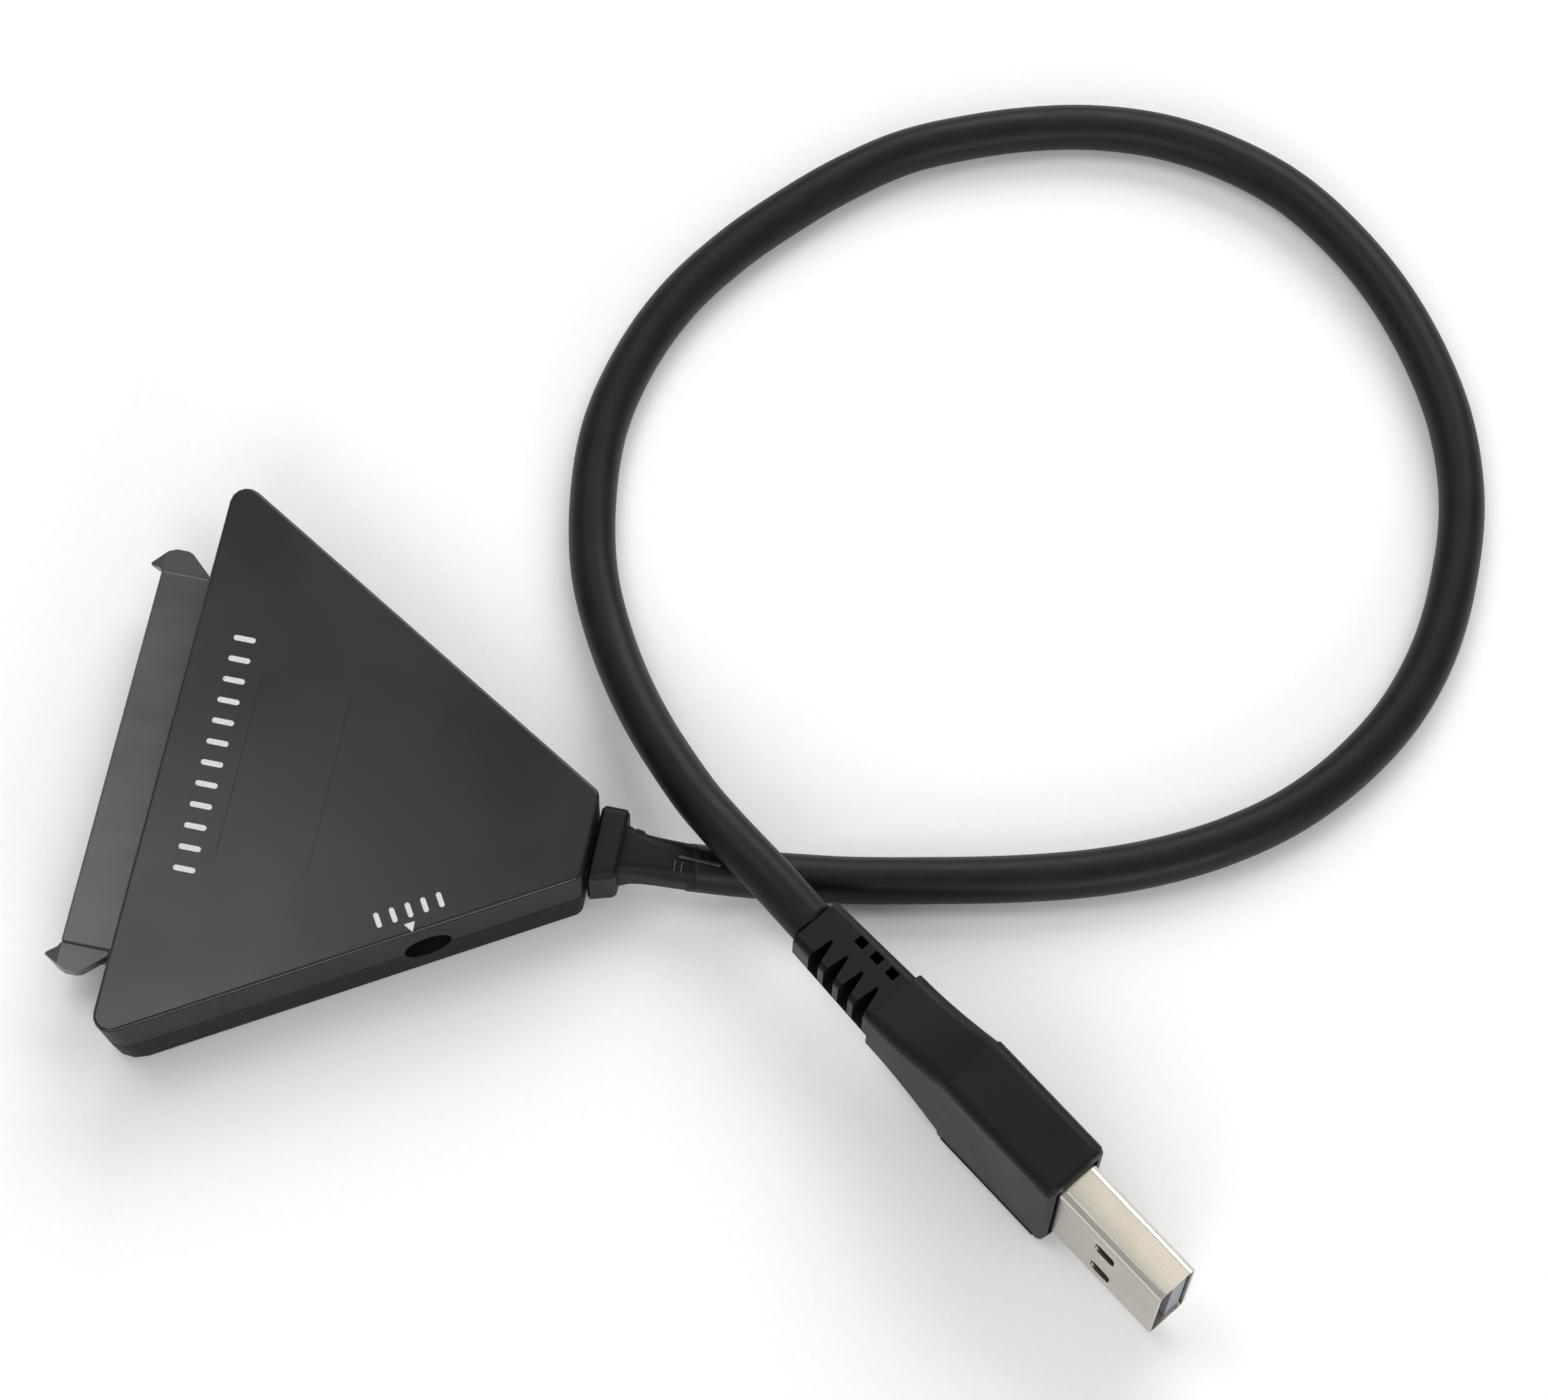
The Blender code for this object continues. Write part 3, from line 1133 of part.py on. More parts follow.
def make_plug_overmould(plug_place):
    """Grip, neck and slotted strain relief as one skin, with the shell's pocket cut in."""
    front = GRIP_FRONT_RADIUS
    rings = []
    for step in range(3):
        angle = math.pi / 2 * step / 2
        inset = front * (1 - math.sin(angle))
        back = front * (1 - math.cos(angle))
        rings.append(section(
            -back, (0.0, 0.0), GRIP_HALF_THICKNESS - inset, GRIP_HALF_WIDTH - inset,
            GRIP_EDGE_RADIUS))
    neck_start = -GRIP_LENGTH
    rings.append(section(
        neck_start, (0.0, 0.0), GRIP_HALF_THICKNESS, GRIP_HALF_WIDTH, GRIP_EDGE_RADIUS))
    for step in range(NECK_STATIONS + 1):
        share = step / NECK_STATIONS
        ease = 1 - (1 - share) ** 1.7
        thickness = NECK_START_HALF_THICKNESS + share * (
            NECK_END_HALF_THICKNESS - NECK_START_HALF_THICKNESS)
        width = NECK_START_HALF_WIDTH + ease * (NECK_END_HALF_WIDTH - NECK_START_HALF_WIDTH)
        place = neck_start - 0.25 * MM - (NECK_LENGTH - 0.25 * MM) * share
        rings.append(section(place, (0.0, 0.0), thickness, width, GRIP_EDGE_RADIUS))
    relief_start = neck_start - NECK_LENGTH
    relief_end = relief_start - RELIEF_LENGTH
    rings.append(section(
        relief_start, (0.0, 0.0), RELIEF_START_HALF_THICKNESS, RELIEF_START_HALF_WIDTH,
        RELIEF_EDGE_RADIUS))
    rings.append(section(
        relief_end, (0.0, 0.0), RELIEF_END_HALF_THICKNESS, RELIEF_END_HALF_WIDTH,
        RELIEF_EDGE_RADIUS))
    overmould = skin_through("plug_overmould", rings)
    pocket = make_cutter(box(
        "cut_shell_pocket",
        (-SHELL_SEAT - SEAT_GAP, -SHELL_THICKNESS / 2 - SEAT_GAP, -SHELL_WIDTH / 2 - SEAT_GAP),
        (OVERCUT, SHELL_THICKNESS / 2 + SEAT_GAP, SHELL_WIDTH / 2 + SEAT_GAP)), plug_place)
    cut(overmould, pocket)
    spine_top = -RELIEF_START_HALF_WIDTH + NOTCH_SPINE
    above = RELIEF_START_HALF_WIDTH + OVERCUT
    outer = -RELIEF_START_HALF_THICKNESS
    inner = outer + NOTCH_REACH
    for index in range(NOTCH_COUNT):
        place = relief_start - NOTCH_FIRST - index * NOTCH_PITCH
        outline = [
            (place - NOTCH_MOUTH * 0.3, outer - OVERCUT), (place + NOTCH_MOUTH, outer - OVERCUT),
            (place + NOTCH_TIP, inner), (place, inner)]
        notch = flat_solid(f"cut_notch_{index}", outline, spine_top, above)
        cut(overmould, make_cutter(notch, plug_place))
    rail = RELIEF_END_HALF_THICKNESS - SLIT_RAIL
    for index in range(NOTCH_COUNT - 1):
        place = relief_start - NOTCH_FIRST - index * NOTCH_PITCH
        slit = box(
            f"cut_slit_{index}", (place - SLIT_LENGTH / 2, rail - SLIT_WIDTH, spine_top),
            (place + SLIT_LENGTH / 2, rail, above))
        cut(overmould, make_cutter(slit, plug_place))
    return make_part(overmould, "plug_overmould", plug_place)


def shell_tube(name, half_thickness, half_width, radius, low, high):
    """A rectangular tube's solid along X, with rounded edges."""
    rings = [
        section(low, (0.0, 0.0), half_thickness, half_width, radius, 3),
        section(high, (0.0, 0.0), half_thickness, half_width, radius, 3)]
    return skin_through(name, rings)


def make_plug_shell(plug_place):
    """Folded steel shell with two windows through each wide side."""
    half_y = SHELL_THICKNESS / 2
    half_z = SHELL_WIDTH / 2
    shell = shell_tube(
        "plug_shell", half_y, half_z, SHELL_CORNER_RADIUS, -SHELL_SEAT, SHELL_REACH)
    bore = shell_tube(
        "cut_shell_bore", half_y - SHELL_SHEET, half_z - SHELL_SHEET,
        SHELL_CORNER_RADIUS - SHELL_SHEET, -SHELL_SEAT - OVERCUT, SHELL_REACH + OVERCUT)
    middle = SHELL_REACH - WINDOW_FROM_TIP
    cut(shell, make_cutter(bore, plug_place))
    for index, z in enumerate((-WINDOW_SPREAD, WINDOW_SPREAD), start=1):
        outline = rounded_rectangle(
            (middle - WINDOW_LENGTH / 2, z - WINDOW_WIDTH / 2),
            (middle + WINDOW_LENGTH / 2, z + WINDOW_WIDTH / 2), WINDOW_CORNER_RADIUS, 3)
        window = flat_solid(
            f"cut_shell_window_{index}", outline, -half_y - OVERCUT, half_y + OVERCUT,
            upright=True)
        cut(shell, make_cutter(window, plug_place))
    return make_part(shell, "plug_steel", plug_place)


def fast_contact_places():
    """Where the five fast contacts stand across the plug's wide side."""
    middle = (FAST_CONTACT_COUNT - 1) / 2
    return [(index - middle) * FAST_CONTACT_PITCH for index in range(FAST_CONTACT_COUNT)]


def make_plug_insulator(plug_place):
    """Rear block that fills the shell, and the tongue along one wide side of it."""
    inner_y = SHELL_THICKNESS / 2 - SHELL_SHEET - SLIDE_GAP
    inner_z = SHELL_WIDTH / 2 - SHELL_SHEET - SLIDE_GAP
    rear = -SHELL_SEAT + SLIDE_GAP
    tip = SHELL_REACH - TONGUE_SETBACK
    block = box(
        "plug_insulator", (rear, -inner_y, -inner_z), (TONGUE_BLOCK_REACH, inner_y, inner_z))
    tongue = make_cutter(box(
        "add_tongue", (0.0, TONGUE_FACE, -inner_z), (tip, inner_y, inner_z)), plug_place)
    join(block, tongue)
    grooves = boxes("cut_contact_grooves", [
        ((rear - OVERCUT, TONGUE_FACE - SLIDE_GAP, z * MM - PLUG_CONTACT_WIDTH / 2 - SLIDE_GAP),
         (tip - 0.6 * MM, TONGUE_FACE + PLUG_CONTACT_GROOVE,
          z * MM + PLUG_CONTACT_WIDTH / 2 + SLIDE_GAP))
        for z in PLUG_CONTACT_PLACES_MM])
    lift = TONGUE_FACE - FAST_CONTACT_LIFT
    channels = boxes("cut_fast_channels", [
        ((rear - OVERCUT, lift - 0.25 * MM, z - FAST_CONTACT_WIDTH / 2 - SLIDE_GAP),
         (TONGUE_BLOCK_REACH + OVERCUT, lift + 0.25 * MM, z + FAST_CONTACT_WIDTH / 2 + SLIDE_GAP))
        for z in fast_contact_places()])
    cut(block, make_cutter(grooves, plug_place), make_cutter(channels, plug_place))
    return make_part(block, "tongue_plastic", plug_place)


def make_plug_contacts(plug_place):
    """Four flat contacts in the tongue's grooves and five arched ones behind them."""
    rear = -SHELL_SEAT + SLIDE_GAP
    tip = SHELL_REACH - TONGUE_SETBACK
    for index, z in enumerate(PLUG_CONTACT_PLACES_MM, start=1):
        low = (rear, TONGUE_FACE + 0.05 * MM, z * MM - PLUG_CONTACT_WIDTH / 2)
        high = (tip - 0.6 * MM - SLIDE_GAP, TONGUE_FACE + PLUG_CONTACT_GROOVE - 0.1 * MM,
                z * MM + PLUG_CONTACT_WIDTH / 2)
        make_part(box(f"plug_contact_{index}", low, high), "contact_gold", plug_place)
    lift = TONGUE_FACE - FAST_CONTACT_LIFT
    start = TONGUE_BLOCK_REACH
    line = [
        (rear, lift), (start + 0.5 * MM, lift), (start + 1.2 * MM, lift - 0.45 * MM),
        (start + 2.1 * MM, lift - 0.45 * MM), (start + 2.9 * MM, lift),
        (start + FAST_CONTACT_REACH, lift + 0.1 * MM)]
    outline = strip_outline(line, CONTACT_THICKNESS)
    for index, z in enumerate(fast_contact_places(), start=1):
        contact = flat_solid(
            f"plug_superspeed_contact_{index}", outline, z - FAST_CONTACT_WIDTH / 2,
            z + FAST_CONTACT_WIDTH / 2)
        make_part(contact, "contact_gold", plug_place)


PARTS, CUTTERS = start_scene()


def main():
    """Build the whole adapter."""
    jack_place = make_jack_place()
    openings = shared_cuts(jack_place)
    make_top_cover(openings)
    make_bottom_cover(openings)
    make_sata_insulator()
    make_sata_contacts()
    make_circuit_board(jack_place)
    make_bridge_chip()
    make_flash_chip()
    make_small_components()
    make_power_inductor()
    make_dc_jack(jack_place)
    make_cable_gland()
    make_cable()
    make_cores()
    plug_place = make_plug_place()
    make_plug_overmould(plug_place)
    make_plug_shell(plug_place)
    make_plug_insulator(plug_place)
    make_plug_contacts(plug_place)


main()
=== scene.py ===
"""Looks of a drive adapter: charcoal triangular housing, drive receptacle, looped cable, plug.

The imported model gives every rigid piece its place. This script adds the skins, the cable, the
marks, the finishes, the floor, the lights and the camera, all in metres in the same frame.
"""

import math

import bmesh
import bpy
import numpy as np
from mathutils import Matrix, Vector


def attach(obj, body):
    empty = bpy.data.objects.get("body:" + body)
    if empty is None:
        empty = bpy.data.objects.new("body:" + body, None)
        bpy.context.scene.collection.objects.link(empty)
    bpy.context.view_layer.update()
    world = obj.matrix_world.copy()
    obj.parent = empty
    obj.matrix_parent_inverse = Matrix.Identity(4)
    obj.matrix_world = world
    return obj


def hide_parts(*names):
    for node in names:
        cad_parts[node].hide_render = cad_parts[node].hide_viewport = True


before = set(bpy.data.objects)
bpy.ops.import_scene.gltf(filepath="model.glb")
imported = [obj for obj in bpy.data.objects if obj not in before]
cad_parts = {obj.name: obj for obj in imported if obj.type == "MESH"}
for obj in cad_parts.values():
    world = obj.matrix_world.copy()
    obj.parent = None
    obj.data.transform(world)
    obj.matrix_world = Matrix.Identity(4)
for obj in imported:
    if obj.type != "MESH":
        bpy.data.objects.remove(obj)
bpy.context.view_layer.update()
MM = 0.001

# Camera, where the photographer stood
CAMERA_PLACE = (0.0634199, -0.1516541, 0.4354272)
CAMERA_RIGHT = (0.979837, 0.198941, 0.0184921)
CAMERA_UP = (-0.1914671, 0.9084995, 0.3714419)
CAMERA_BACK = (0.057095, -0.3674931, 0.928272)
CAMERA_LENS = 114.7156
SENSOR_WIDTH = 36.0

# Cable: from half a millimetre inside the strain relief, down to the surface, round the loop and
# over its own start
CABLE_DIAMETER = 4.5 * MM
CABLE_ROUTE = np.array([
    (32.50, 1.02, 4.23), (37.65, 1.90, 3.05), (42.75, 2.80, 2.35), (48.25, 3.70, 2.30),
    (57.65, 5.70, 2.30), (63.75, 7.20, 2.30), (69.65, 9.00, 2.30), (75.45, 11.40, 2.30),
    (81.15, 14.60, 2.30), (86.55, 18.80, 2.30), (91.25, 24.20, 2.30), (95.05, 30.70, 2.30),
    (97.35, 38.10, 2.30), (98.05, 45.90, 2.30), (97.55, 53.80, 2.30), (95.35, 61.50, 2.30),
    (91.75, 68.30, 2.30), (87.15, 74.40, 2.30), (81.85, 79.40, 2.30), (75.85, 83.40, 2.30),
    (69.25, 85.80, 2.30), (62.55, 86.80, 2.30), (55.85, 86.40, 2.30), (49.55, 84.90, 2.30),
    (43.45, 82.60, 2.30), (37.75, 79.70, 2.30), (32.55, 75.60, 2.30), (27.85, 70.90, 2.30),
    (23.35, 65.60, 2.30), (19.35, 59.40, 2.30), (16.55, 52.30, 2.30), (15.15, 44.50, 2.30),
    (15.65, 36.50, 2.30), (17.55, 28.70, 2.40), (21.05, 21.40, 2.90), (25.55, 14.50, 4.60),
    (31.05, 7.90, 6.90), (34.95, 4.20, 8.10), (40.32, 0.10, 8.35), (45.01, -3.41, 7.90),
]) * MM
CABLE_STATIONS = 560
CABLE_SIDES = 40
SPAN_STEPS = 16
CORE_LAY = 38 * MM
CORE_RIPPLE = 0.02 * MM

# Plug: where its shell leaves the overmould, and which way it points
PLUG_PLACE = (72.96 * MM, -24.01 * MM, 7.80 * MM)
PLUG_HEADING = math.radians(-36.4)
SHELL_HALF = np.array([2.25, 6.0]) * MM
SHELL_SHEET = 0.3 * MM
SHELL_CORNER = 0.6 * MM
SHELL_ROUND = 0.9 * MM
SHELL_ROUND_INSIDE = 0.45 * MM
TONGUE_TIP = 12.0 * MM
TONGUE_STRETCH = 0.6 * MM

# Moulded ridges
BEAD_SIDES = 14
BEAD_STEP = 0.25 * MM
BEAD_LEAST_STATIONS = 16
BEAD_BLUNT = 0.995
GRIP_FLASH_FROM = -13.4
GRIP_FLASH_TO = -0.8
GRIP_FLASH_SIDE = -3.42
GRIP_FLASH_HEIGHT = -6.55
GRIP_FLASH_POINTS = 8

# Housing
HOUSING_WIDTH = 57.4 * MM
HOUSING_DEPTH = 40.3 * MM
HOUSING_NOSE_WIDTH = 8.66 * MM
BACK_X = -16.85 * MM
ROOF_TOP = 10.7 * MM
RECESS_DEPTH = 0.15 * MM
RECESS_LOOK = 0.05 * MM
SIDE_SLANT = math.atan((HOUSING_WIDTH - HOUSING_NOSE_WIDTH) / 2 / HOUSING_DEPTH)

# Skins
MERGE_DISTANCE = 0.001 * MM
NEAR = 0.02 * MM
FLAT_ANGLE = math.radians(0.6)
SHARP_ANGLE = math.radians(38.0)
EASE_SEGMENTS = 2
UPRIGHT_BELOW = 0.45

# Printed marks
INK_FILM = 0.025 * MM
FILM_SHARES = np.array([1.0, 1.0, 0.92, 0.6])
FILM_HEIGHTS = np.array([-0.4, 0.15, 0.8, 1.0]) * INK_FILM
MARK_SIDES = 24
ROW_FROM_BACK = 4.75 * MM
ROW_START = -10.9 * MM
ROW_DASHES = 12
ROW_PITCH = 2.11 * MM
ROW_DASH = (2.1 * MM, 0.55 * MM)
JACK_ROW = np.array([BACK_X + 25.7 * MM, -10.55 * MM])
JACK_DASHES = 5
JACK_PITCH = 1.5 * MM
JACK_DASH = (1.5 * MM, 0.5 * MM)
ARROW_SIDE = 1.1 * MM
ARROW_ALONG = -0.35 * MM
ARROW_OUTWARD = 1.5 * MM
ARROW_BLUNT = 0.54

# Finishes: the range that most of a noise keeps to
NOISE_LOW = 0.3
NOISE_HIGH = 0.7

# Floor, from its middle to each side
FLOOR_REACH = 3.0


# Meshes
def add_piece(name, points, faces, finish):
    """A new piece from an array of points and rows of corner numbers."""
    mesh = bpy.data.meshes.new(name)
    mesh.from_pydata(points.tolist(), [], faces)
    mesh.polygons.foreach_set("use_smooth", np.full(len(mesh.polygons), True))
    mesh.update()
    piece = bpy.data.objects.new(name, mesh)
    bpy.context.scene.collection.objects.link(piece)
    mesh.materials.append(finish)
    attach(piece, "root")
    return piece


def grid_faces(rows, columns):
    """Quads of a grid whose columns run round and close, as rows of four corner numbers."""
    row, column = np.meshgrid(np.arange(rows - 1), np.arange(columns), indexing="ij")
    after = (column + 1) % columns
    quads = np.stack([
        row * columns + column, row * columns + after,
        (row + 1) * columns + after, (row + 1) * columns + column], axis=-1)
    return quads.reshape(-1, 4).tolist()


def closed_faces(rows, columns, start, end):
    """A closed grid's quads, then triangles from its first and last row to two middle points."""
    ring = np.arange(columns)
    turned = np.roll(ring, -1)
    last = (rows - 1) * columns
    start_cap = np.stack([np.full(columns, start), turned, ring], axis=1)
    end_cap = np.stack([np.full(columns, end), last + ring, last + turned], axis=1)
    return grid_faces(rows, columns) + start_cap.tolist() + end_cap.tolist()


def reach_along(line):
    """How far along the line each of its points lies."""
    return np.concatenate([[0.0], np.cumsum(np.linalg.norm(np.diff(line, axis=0), axis=1))])


def curve_through(knots, count):
    """Evenly spaced points on the smooth curve through the knots.

    Each span is a cubic, whose slope at a knot is half the step between the knots on either side
    of it. The curve is then read again at equal steps of its own length.
    """
    before = np.concatenate([knots[:1], knots[:-2]])[:, None]
    start = knots[:-1][:, None]
    end = knots[1:][:, None]
    after = np.concatenate([knots[2:], knots[-1:]])[:, None]
    t = np.linspace(0.0, 1.0, SPAN_STEPS, endpoint=False)[None, :, None]
    fine = 0.5 * (
        2 * start + (end - before) * t + (2 * before - 5 * start + 4 * end - after) * t ** 2
        + (3 * start - before - 3 * end + after) * t ** 3)
    fine = np.concatenate([fine.reshape(-1, 3), knots[-1:]])
    reach = reach_along(fine)
    wanted = np.linspace(0.0, reach[-1], count)
    return np.stack([np.interp(wanted, reach, fine[:, axis]) for axis in range(3)], axis=1)


def angles_round(sides):
    """Evenly spaced angles round a circle."""
    return np.linspace(0.0, 2 * math.pi, sides, endpoint=False)


def round_skin(line, radius, sides):
    """A closed round skin carried along a line.

    A point is the line's own point plus the radius times cosine and sine of the angle round it,
    along two directions square to the line: one level, one upright. The radius is an array with a
    row for each point of the line and a column for each side, or one column for them all.
    """
    steps = np.gradient(line, axis=0)
    heading = steps / np.linalg.norm(steps, axis=1, keepdims=True)
    level = np.cross(np.array([0.0, 0.0, 1.0]), heading)
    level /= np.linalg.norm(level, axis=1, keepdims=True)
    upright = np.cross(heading, level)
    angle = angles_round(sides)
    skin = line[:, None] + radius[..., None] * (
        np.cos(angle)[None, :, None] * level[:, None]
        + np.sin(angle)[None, :, None] * upright[:, None])
    points = np.concatenate([skin.reshape(-1, 3), line[:1], line[-1:]])
    return points, closed_faces(len(line), sides, len(points) - 2, len(points) - 1)


# Cable
def set_cable_uv(cable, reach):
    """The cable's UV map, in metres: how far round it on one axis, how far along it on the other."""
    row, column = np.divmod(np.arange((CABLE_STATIONS - 1) * CABLE_SIDES), CABLE_SIDES)
    corner_row = np.stack([row, row, row + 1, row + 1], axis=1)
    corner_column = np.stack([column, column + 1, column + 1, column], axis=1)
    round_step = math.pi * CABLE_DIAMETER / CABLE_SIDES
    cap_corners = np.zeros(2 * 3 * CABLE_SIDES)
    across = np.concatenate([(corner_column * round_step).ravel(), cap_corners])
    along = np.concatenate([reach[corner_row].ravel(), cap_corners])
    layer = cable.data.uv_layers.new(name="surface")
    layer.data.foreach_set("uv", np.stack([across, along], axis=1).astype(np.float32).ravel())


def make_cable(finish):
    """The cable as a round skin along its route.

    Its radius swells twice round the circle by a few hundredths of a millimetre, as the cosine of
    twice the angle less a twist that grows with the way along, because the cores lie twisted.
    """
    line = curve_through(CABLE_ROUTE, CABLE_STATIONS)
    reach = reach_along(line)
    twist = reach[:, None] / CORE_LAY * 2 * math.pi
    ripple = CORE_RIPPLE * np.cos(2 * angles_round(CABLE_SIDES)[None, :] - twist)
    radius = CABLE_DIAMETER / 2 - CORE_RIPPLE + ripple
    points, faces = round_skin(line, radius, CABLE_SIDES)
    cable = add_piece("cable_skin", points, faces, finish)
    set_cable_uv(cable, reach)
    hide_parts("cable")
    return cable, line


def declare_cord(plug):
    """Puts the pieces that the cable carries, with the plug's contacts, into one list, which nothing
    further uses.
    """
    plug = plug + [piece for name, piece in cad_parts.items()
                   if name.startswith("plug_") and "contact" in name]


# Turned points
def turn_plan(local, turn):
    """Plan points turned about the origin."""
    cosine, sine = math.cos(turn), math.sin(turn)
    return local @ np.array([[cosine, sine], [-sine, cosine]])


def turn_space(points, turn):
    """Points turned about the upright axis."""
    return np.concatenate([turn_plan(points[:, :2], turn), points[:, 2:]], axis=1)


def from_plug(points):
    """World points in the plug's own directions: along it, across its thickness, up its width."""
    return turn_space(points - np.array(PLUG_PLACE), -PLUG_HEADING)


def to_plug(points):
    """The way back from the plug's own directions to the world."""
    return turn_space(points, PLUG_HEADING) + np.array(PLUG_PLACE)


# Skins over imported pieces
def fade_recess(points):
    """Lifts the floor of the roof's label recess, so that its rim shows as faintly as it should."""
    on_floor = np.abs(points[:, 2] - (ROOF_TOP - RECESS_DEPTH)) < NEAR
    points[on_floor, 2] = ROOF_TOP - RECESS_LOOK
    return points


def round_shell(points):
    """Makes the shell's long corners rounder.

    Seen end on, each corner's points keep their direction from the middle of its arc. The arc grows
    to a larger radius, and its middle moves so that the arc still meets both flat sides.
    """
    local = from_plug(points)
    sides = np.sign(local[:, 1:])
    offset = np.abs(local[:, 1:]) - (SHELL_HALF - SHELL_CORNER)
    outside = np.linalg.norm(offset, axis=1) > SHELL_CORNER - SHELL_SHEET / 2
    at_corner = (offset > -NEAR).all(axis=1)
    arcs = (
        (at_corner & outside, SHELL_HALF, SHELL_CORNER, SHELL_ROUND),
        (at_corner & ~outside, SHELL_HALF - SHELL_SHEET, SHELL_CORNER - SHELL_SHEET,
         SHELL_ROUND_INSIDE))
    for chosen, half, old, new in arcs:
        local[chosen, 1:] = sides[chosen] * (half - new + offset[chosen] * new / old)
    return to_plug(local)


def extend_tongue(points):
    """Brings the tongue's tip nearer to the mouth of the shell."""
    local = from_plug(points)
    local[local[:, 0] > TONGUE_TIP - NEAR, 0] += TONGUE_STRETCH
    return to_plug(local)


def merged_mesh(node):
    """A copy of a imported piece's mesh, with its points joined and its flat faces made whole."""
    shape = bmesh.new()
    shape.from_mesh(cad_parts[node].data)
    bmesh.ops.remove_doubles(shape, verts=shape.verts, dist=MERGE_DISTANCE)
    bmesh.ops.dissolve_limit(shape, angle_limit=FLAT_ANGLE, verts=shape.verts, edges=shape.edges)
    mesh = bpy.data.meshes.new(node + "_skin")
    shape.to_mesh(mesh)
    shape.free()
    mesh.materials.clear()
    return mesh


def move_points(mesh, reshape):
    """Moves a mesh's points by a function of all of them."""
    points = np.empty(len(mesh.vertices) * 3)
    mesh.vertices.foreach_get("co", points)
    mesh.vertices.foreach_set("co", reshape(points.reshape(-1, 3)).ravel())
    mesh.update()


def finish_sides(mesh, sides):
    """Gives the faces that stand upright a finish of their own. Where that finish is a darker copy of
    the main one, as on the bottom cover's walls and the shell's sides, the darker tone is painted
    shade.
    """
    mesh.materials.append(sides)
    facing = np.empty(len(mesh.polygons) * 3)
    mesh.polygons.foreach_get("normal", facing)
    upright = np.abs(facing.reshape(-1, 3)[:, 2]) < UPRIGHT_BELOW
    mesh.polygons.foreach_set("material_index", upright.astype(np.int32))


def ease_edges(skin, ease):
    """Bevels a skin's hard edges by a small width, and shades its flat faces evenly."""
    bevel = skin.modifiers.new("eased edges", "BEVEL")
    bevel.width = ease
    bevel.segments = EASE_SEGMENTS
    bevel.limit_method = "ANGLE"
    bevel.angle_limit = SHARP_ANGLE
    bevel.harden_normals = True
    normals = skin.modifiers.new("even shading", "WEIGHTED_NORMAL")
    normals.keep_sharp = True


def make_skin(node, finish, ease, sides=None, reshape=None):
    """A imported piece's own shape with its loose triangles merged and its hard edges eased.

    Faces that stand upright can take a finish of their own, and the points can be moved a little.
    """
    mesh = merged_mesh(node)
    mesh.materials.append(finish)
    if reshape:
        move_points(mesh, reshape)
    mesh.polygons.foreach_set("use_smooth", np.full(len(mesh.polygons), True))
    mesh.set_sharp_from_angle(angle=SHARP_ANGLE)
    if sides:
        finish_sides(mesh, sides)
    skin = bpy.data.objects.new(node + "_skin", mesh)
    bpy.context.scene.collection.objects.link(skin)
    ease_edges(skin, ease)
    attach(skin, "root")
    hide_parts(node)
    return skin


# Moulded ridges
def make_bead(name, path, radius, finish):
    """A moulded ridge: a round skin carried along a path, with domed ends.

    The radius at a point is the full radius times the square root of one minus the square of how
    far the point has gone into its end, counted over one radius of length and kept under one.
    """
    length = np.linalg.norm(np.diff(path, axis=0), axis=1).sum()
    stations = max(BEAD_LEAST_STATIONS, int(length / BEAD_STEP))
    reach = np.linspace(0.0, length, stations)
    into_end = np.clip(1.0 - np.minimum(reach, length - reach) / radius, 0.0, BEAD_BLUNT)
    across = radius * np.sqrt(1.0 - into_end ** 2)
    points, faces = round_skin(curve_through(path, stations), across[:, None], BEAD_SIDES)
    return add_piece(name, points, faces, finish)


def make_flash(relief_pvc, overmould):
    """Small moulded ridges: a tab and a rib on the strain relief, and flash along the overmould."""
    ridges = [
        ("relief_tab_1", [(31.35, -0.45, 6.38), (31.33, 0.15, 6.49), (31.33, 0.75, 6.53)], 0.20),
        ("relief_tab_2", [(32.02, -0.40, 6.32), (32.00, 0.15, 6.42), (32.00, 0.70, 6.46)], 0.18),
        ("relief_rib", [(31.30, 1.04, 6.56), (33.40, 1.12, 6.28), (35.60, 1.22, 5.84)], 0.18),
        ("relief_flash_1", [(26.12, 3.62, 8.30), (26.18, 3.55, 7.80), (26.22, 3.45, 7.30)], 0.14),
        ("relief_flash_2", [(27.10, 3.00, 6.20), (27.55, 2.92, 6.12), (28.00, 2.86, 6.05)], 0.14)]
    for name, path, radius in ridges:
        # These ridges are real moulded shapes. Their finish is lighter than the relief rubber, and that
        # lighter colour is painted highlight. Their higher gloss is real.
        make_bead(name, np.array(path) * MM, radius * MM, relief_pvc)
    along = np.linspace(GRIP_FLASH_FROM, GRIP_FLASH_TO, GRIP_FLASH_POINTS)
    side = np.full(GRIP_FLASH_POINTS, GRIP_FLASH_SIDE)
    height = np.full(GRIP_FLASH_POINTS, GRIP_FLASH_HEIGHT)
    edge = np.stack([along, side, height], axis=1) * MM
    make_bead("grip_flash", to_plug(edge), 0.16 * MM, overmould)


# Printed marks
def ink_film(outline):
    """Printed ink over an outline on the roof.

    Each ring of points lies at a share of the way from the outline's middle to its rim, at its own
    height: a little under the roof at the rim, then up its edge and in over its top.
    """
    middle = outline.mean(axis=0)
    plan = middle + FILM_SHARES[:, None, None] * (outline - middle)[None]
    rise = np.broadcast_to((ROOF_TOP + FILM_HEIGHTS)[:, None, None], plan.shape[:2] + (1,))
    skin = np.concatenate([plan, rise], axis=2)
    middles = np.array([[*middle, ROOF_TOP + FILM_HEIGHTS[0]], [*middle, ROOF_TOP + FILM_HEIGHTS[-1]]])
    points = np.concatenate([skin.reshape(-1, 3), middles])
    return points, closed_faces(len(FILM_SHARES), len(outline), len(points) - 2, len(points) - 1)


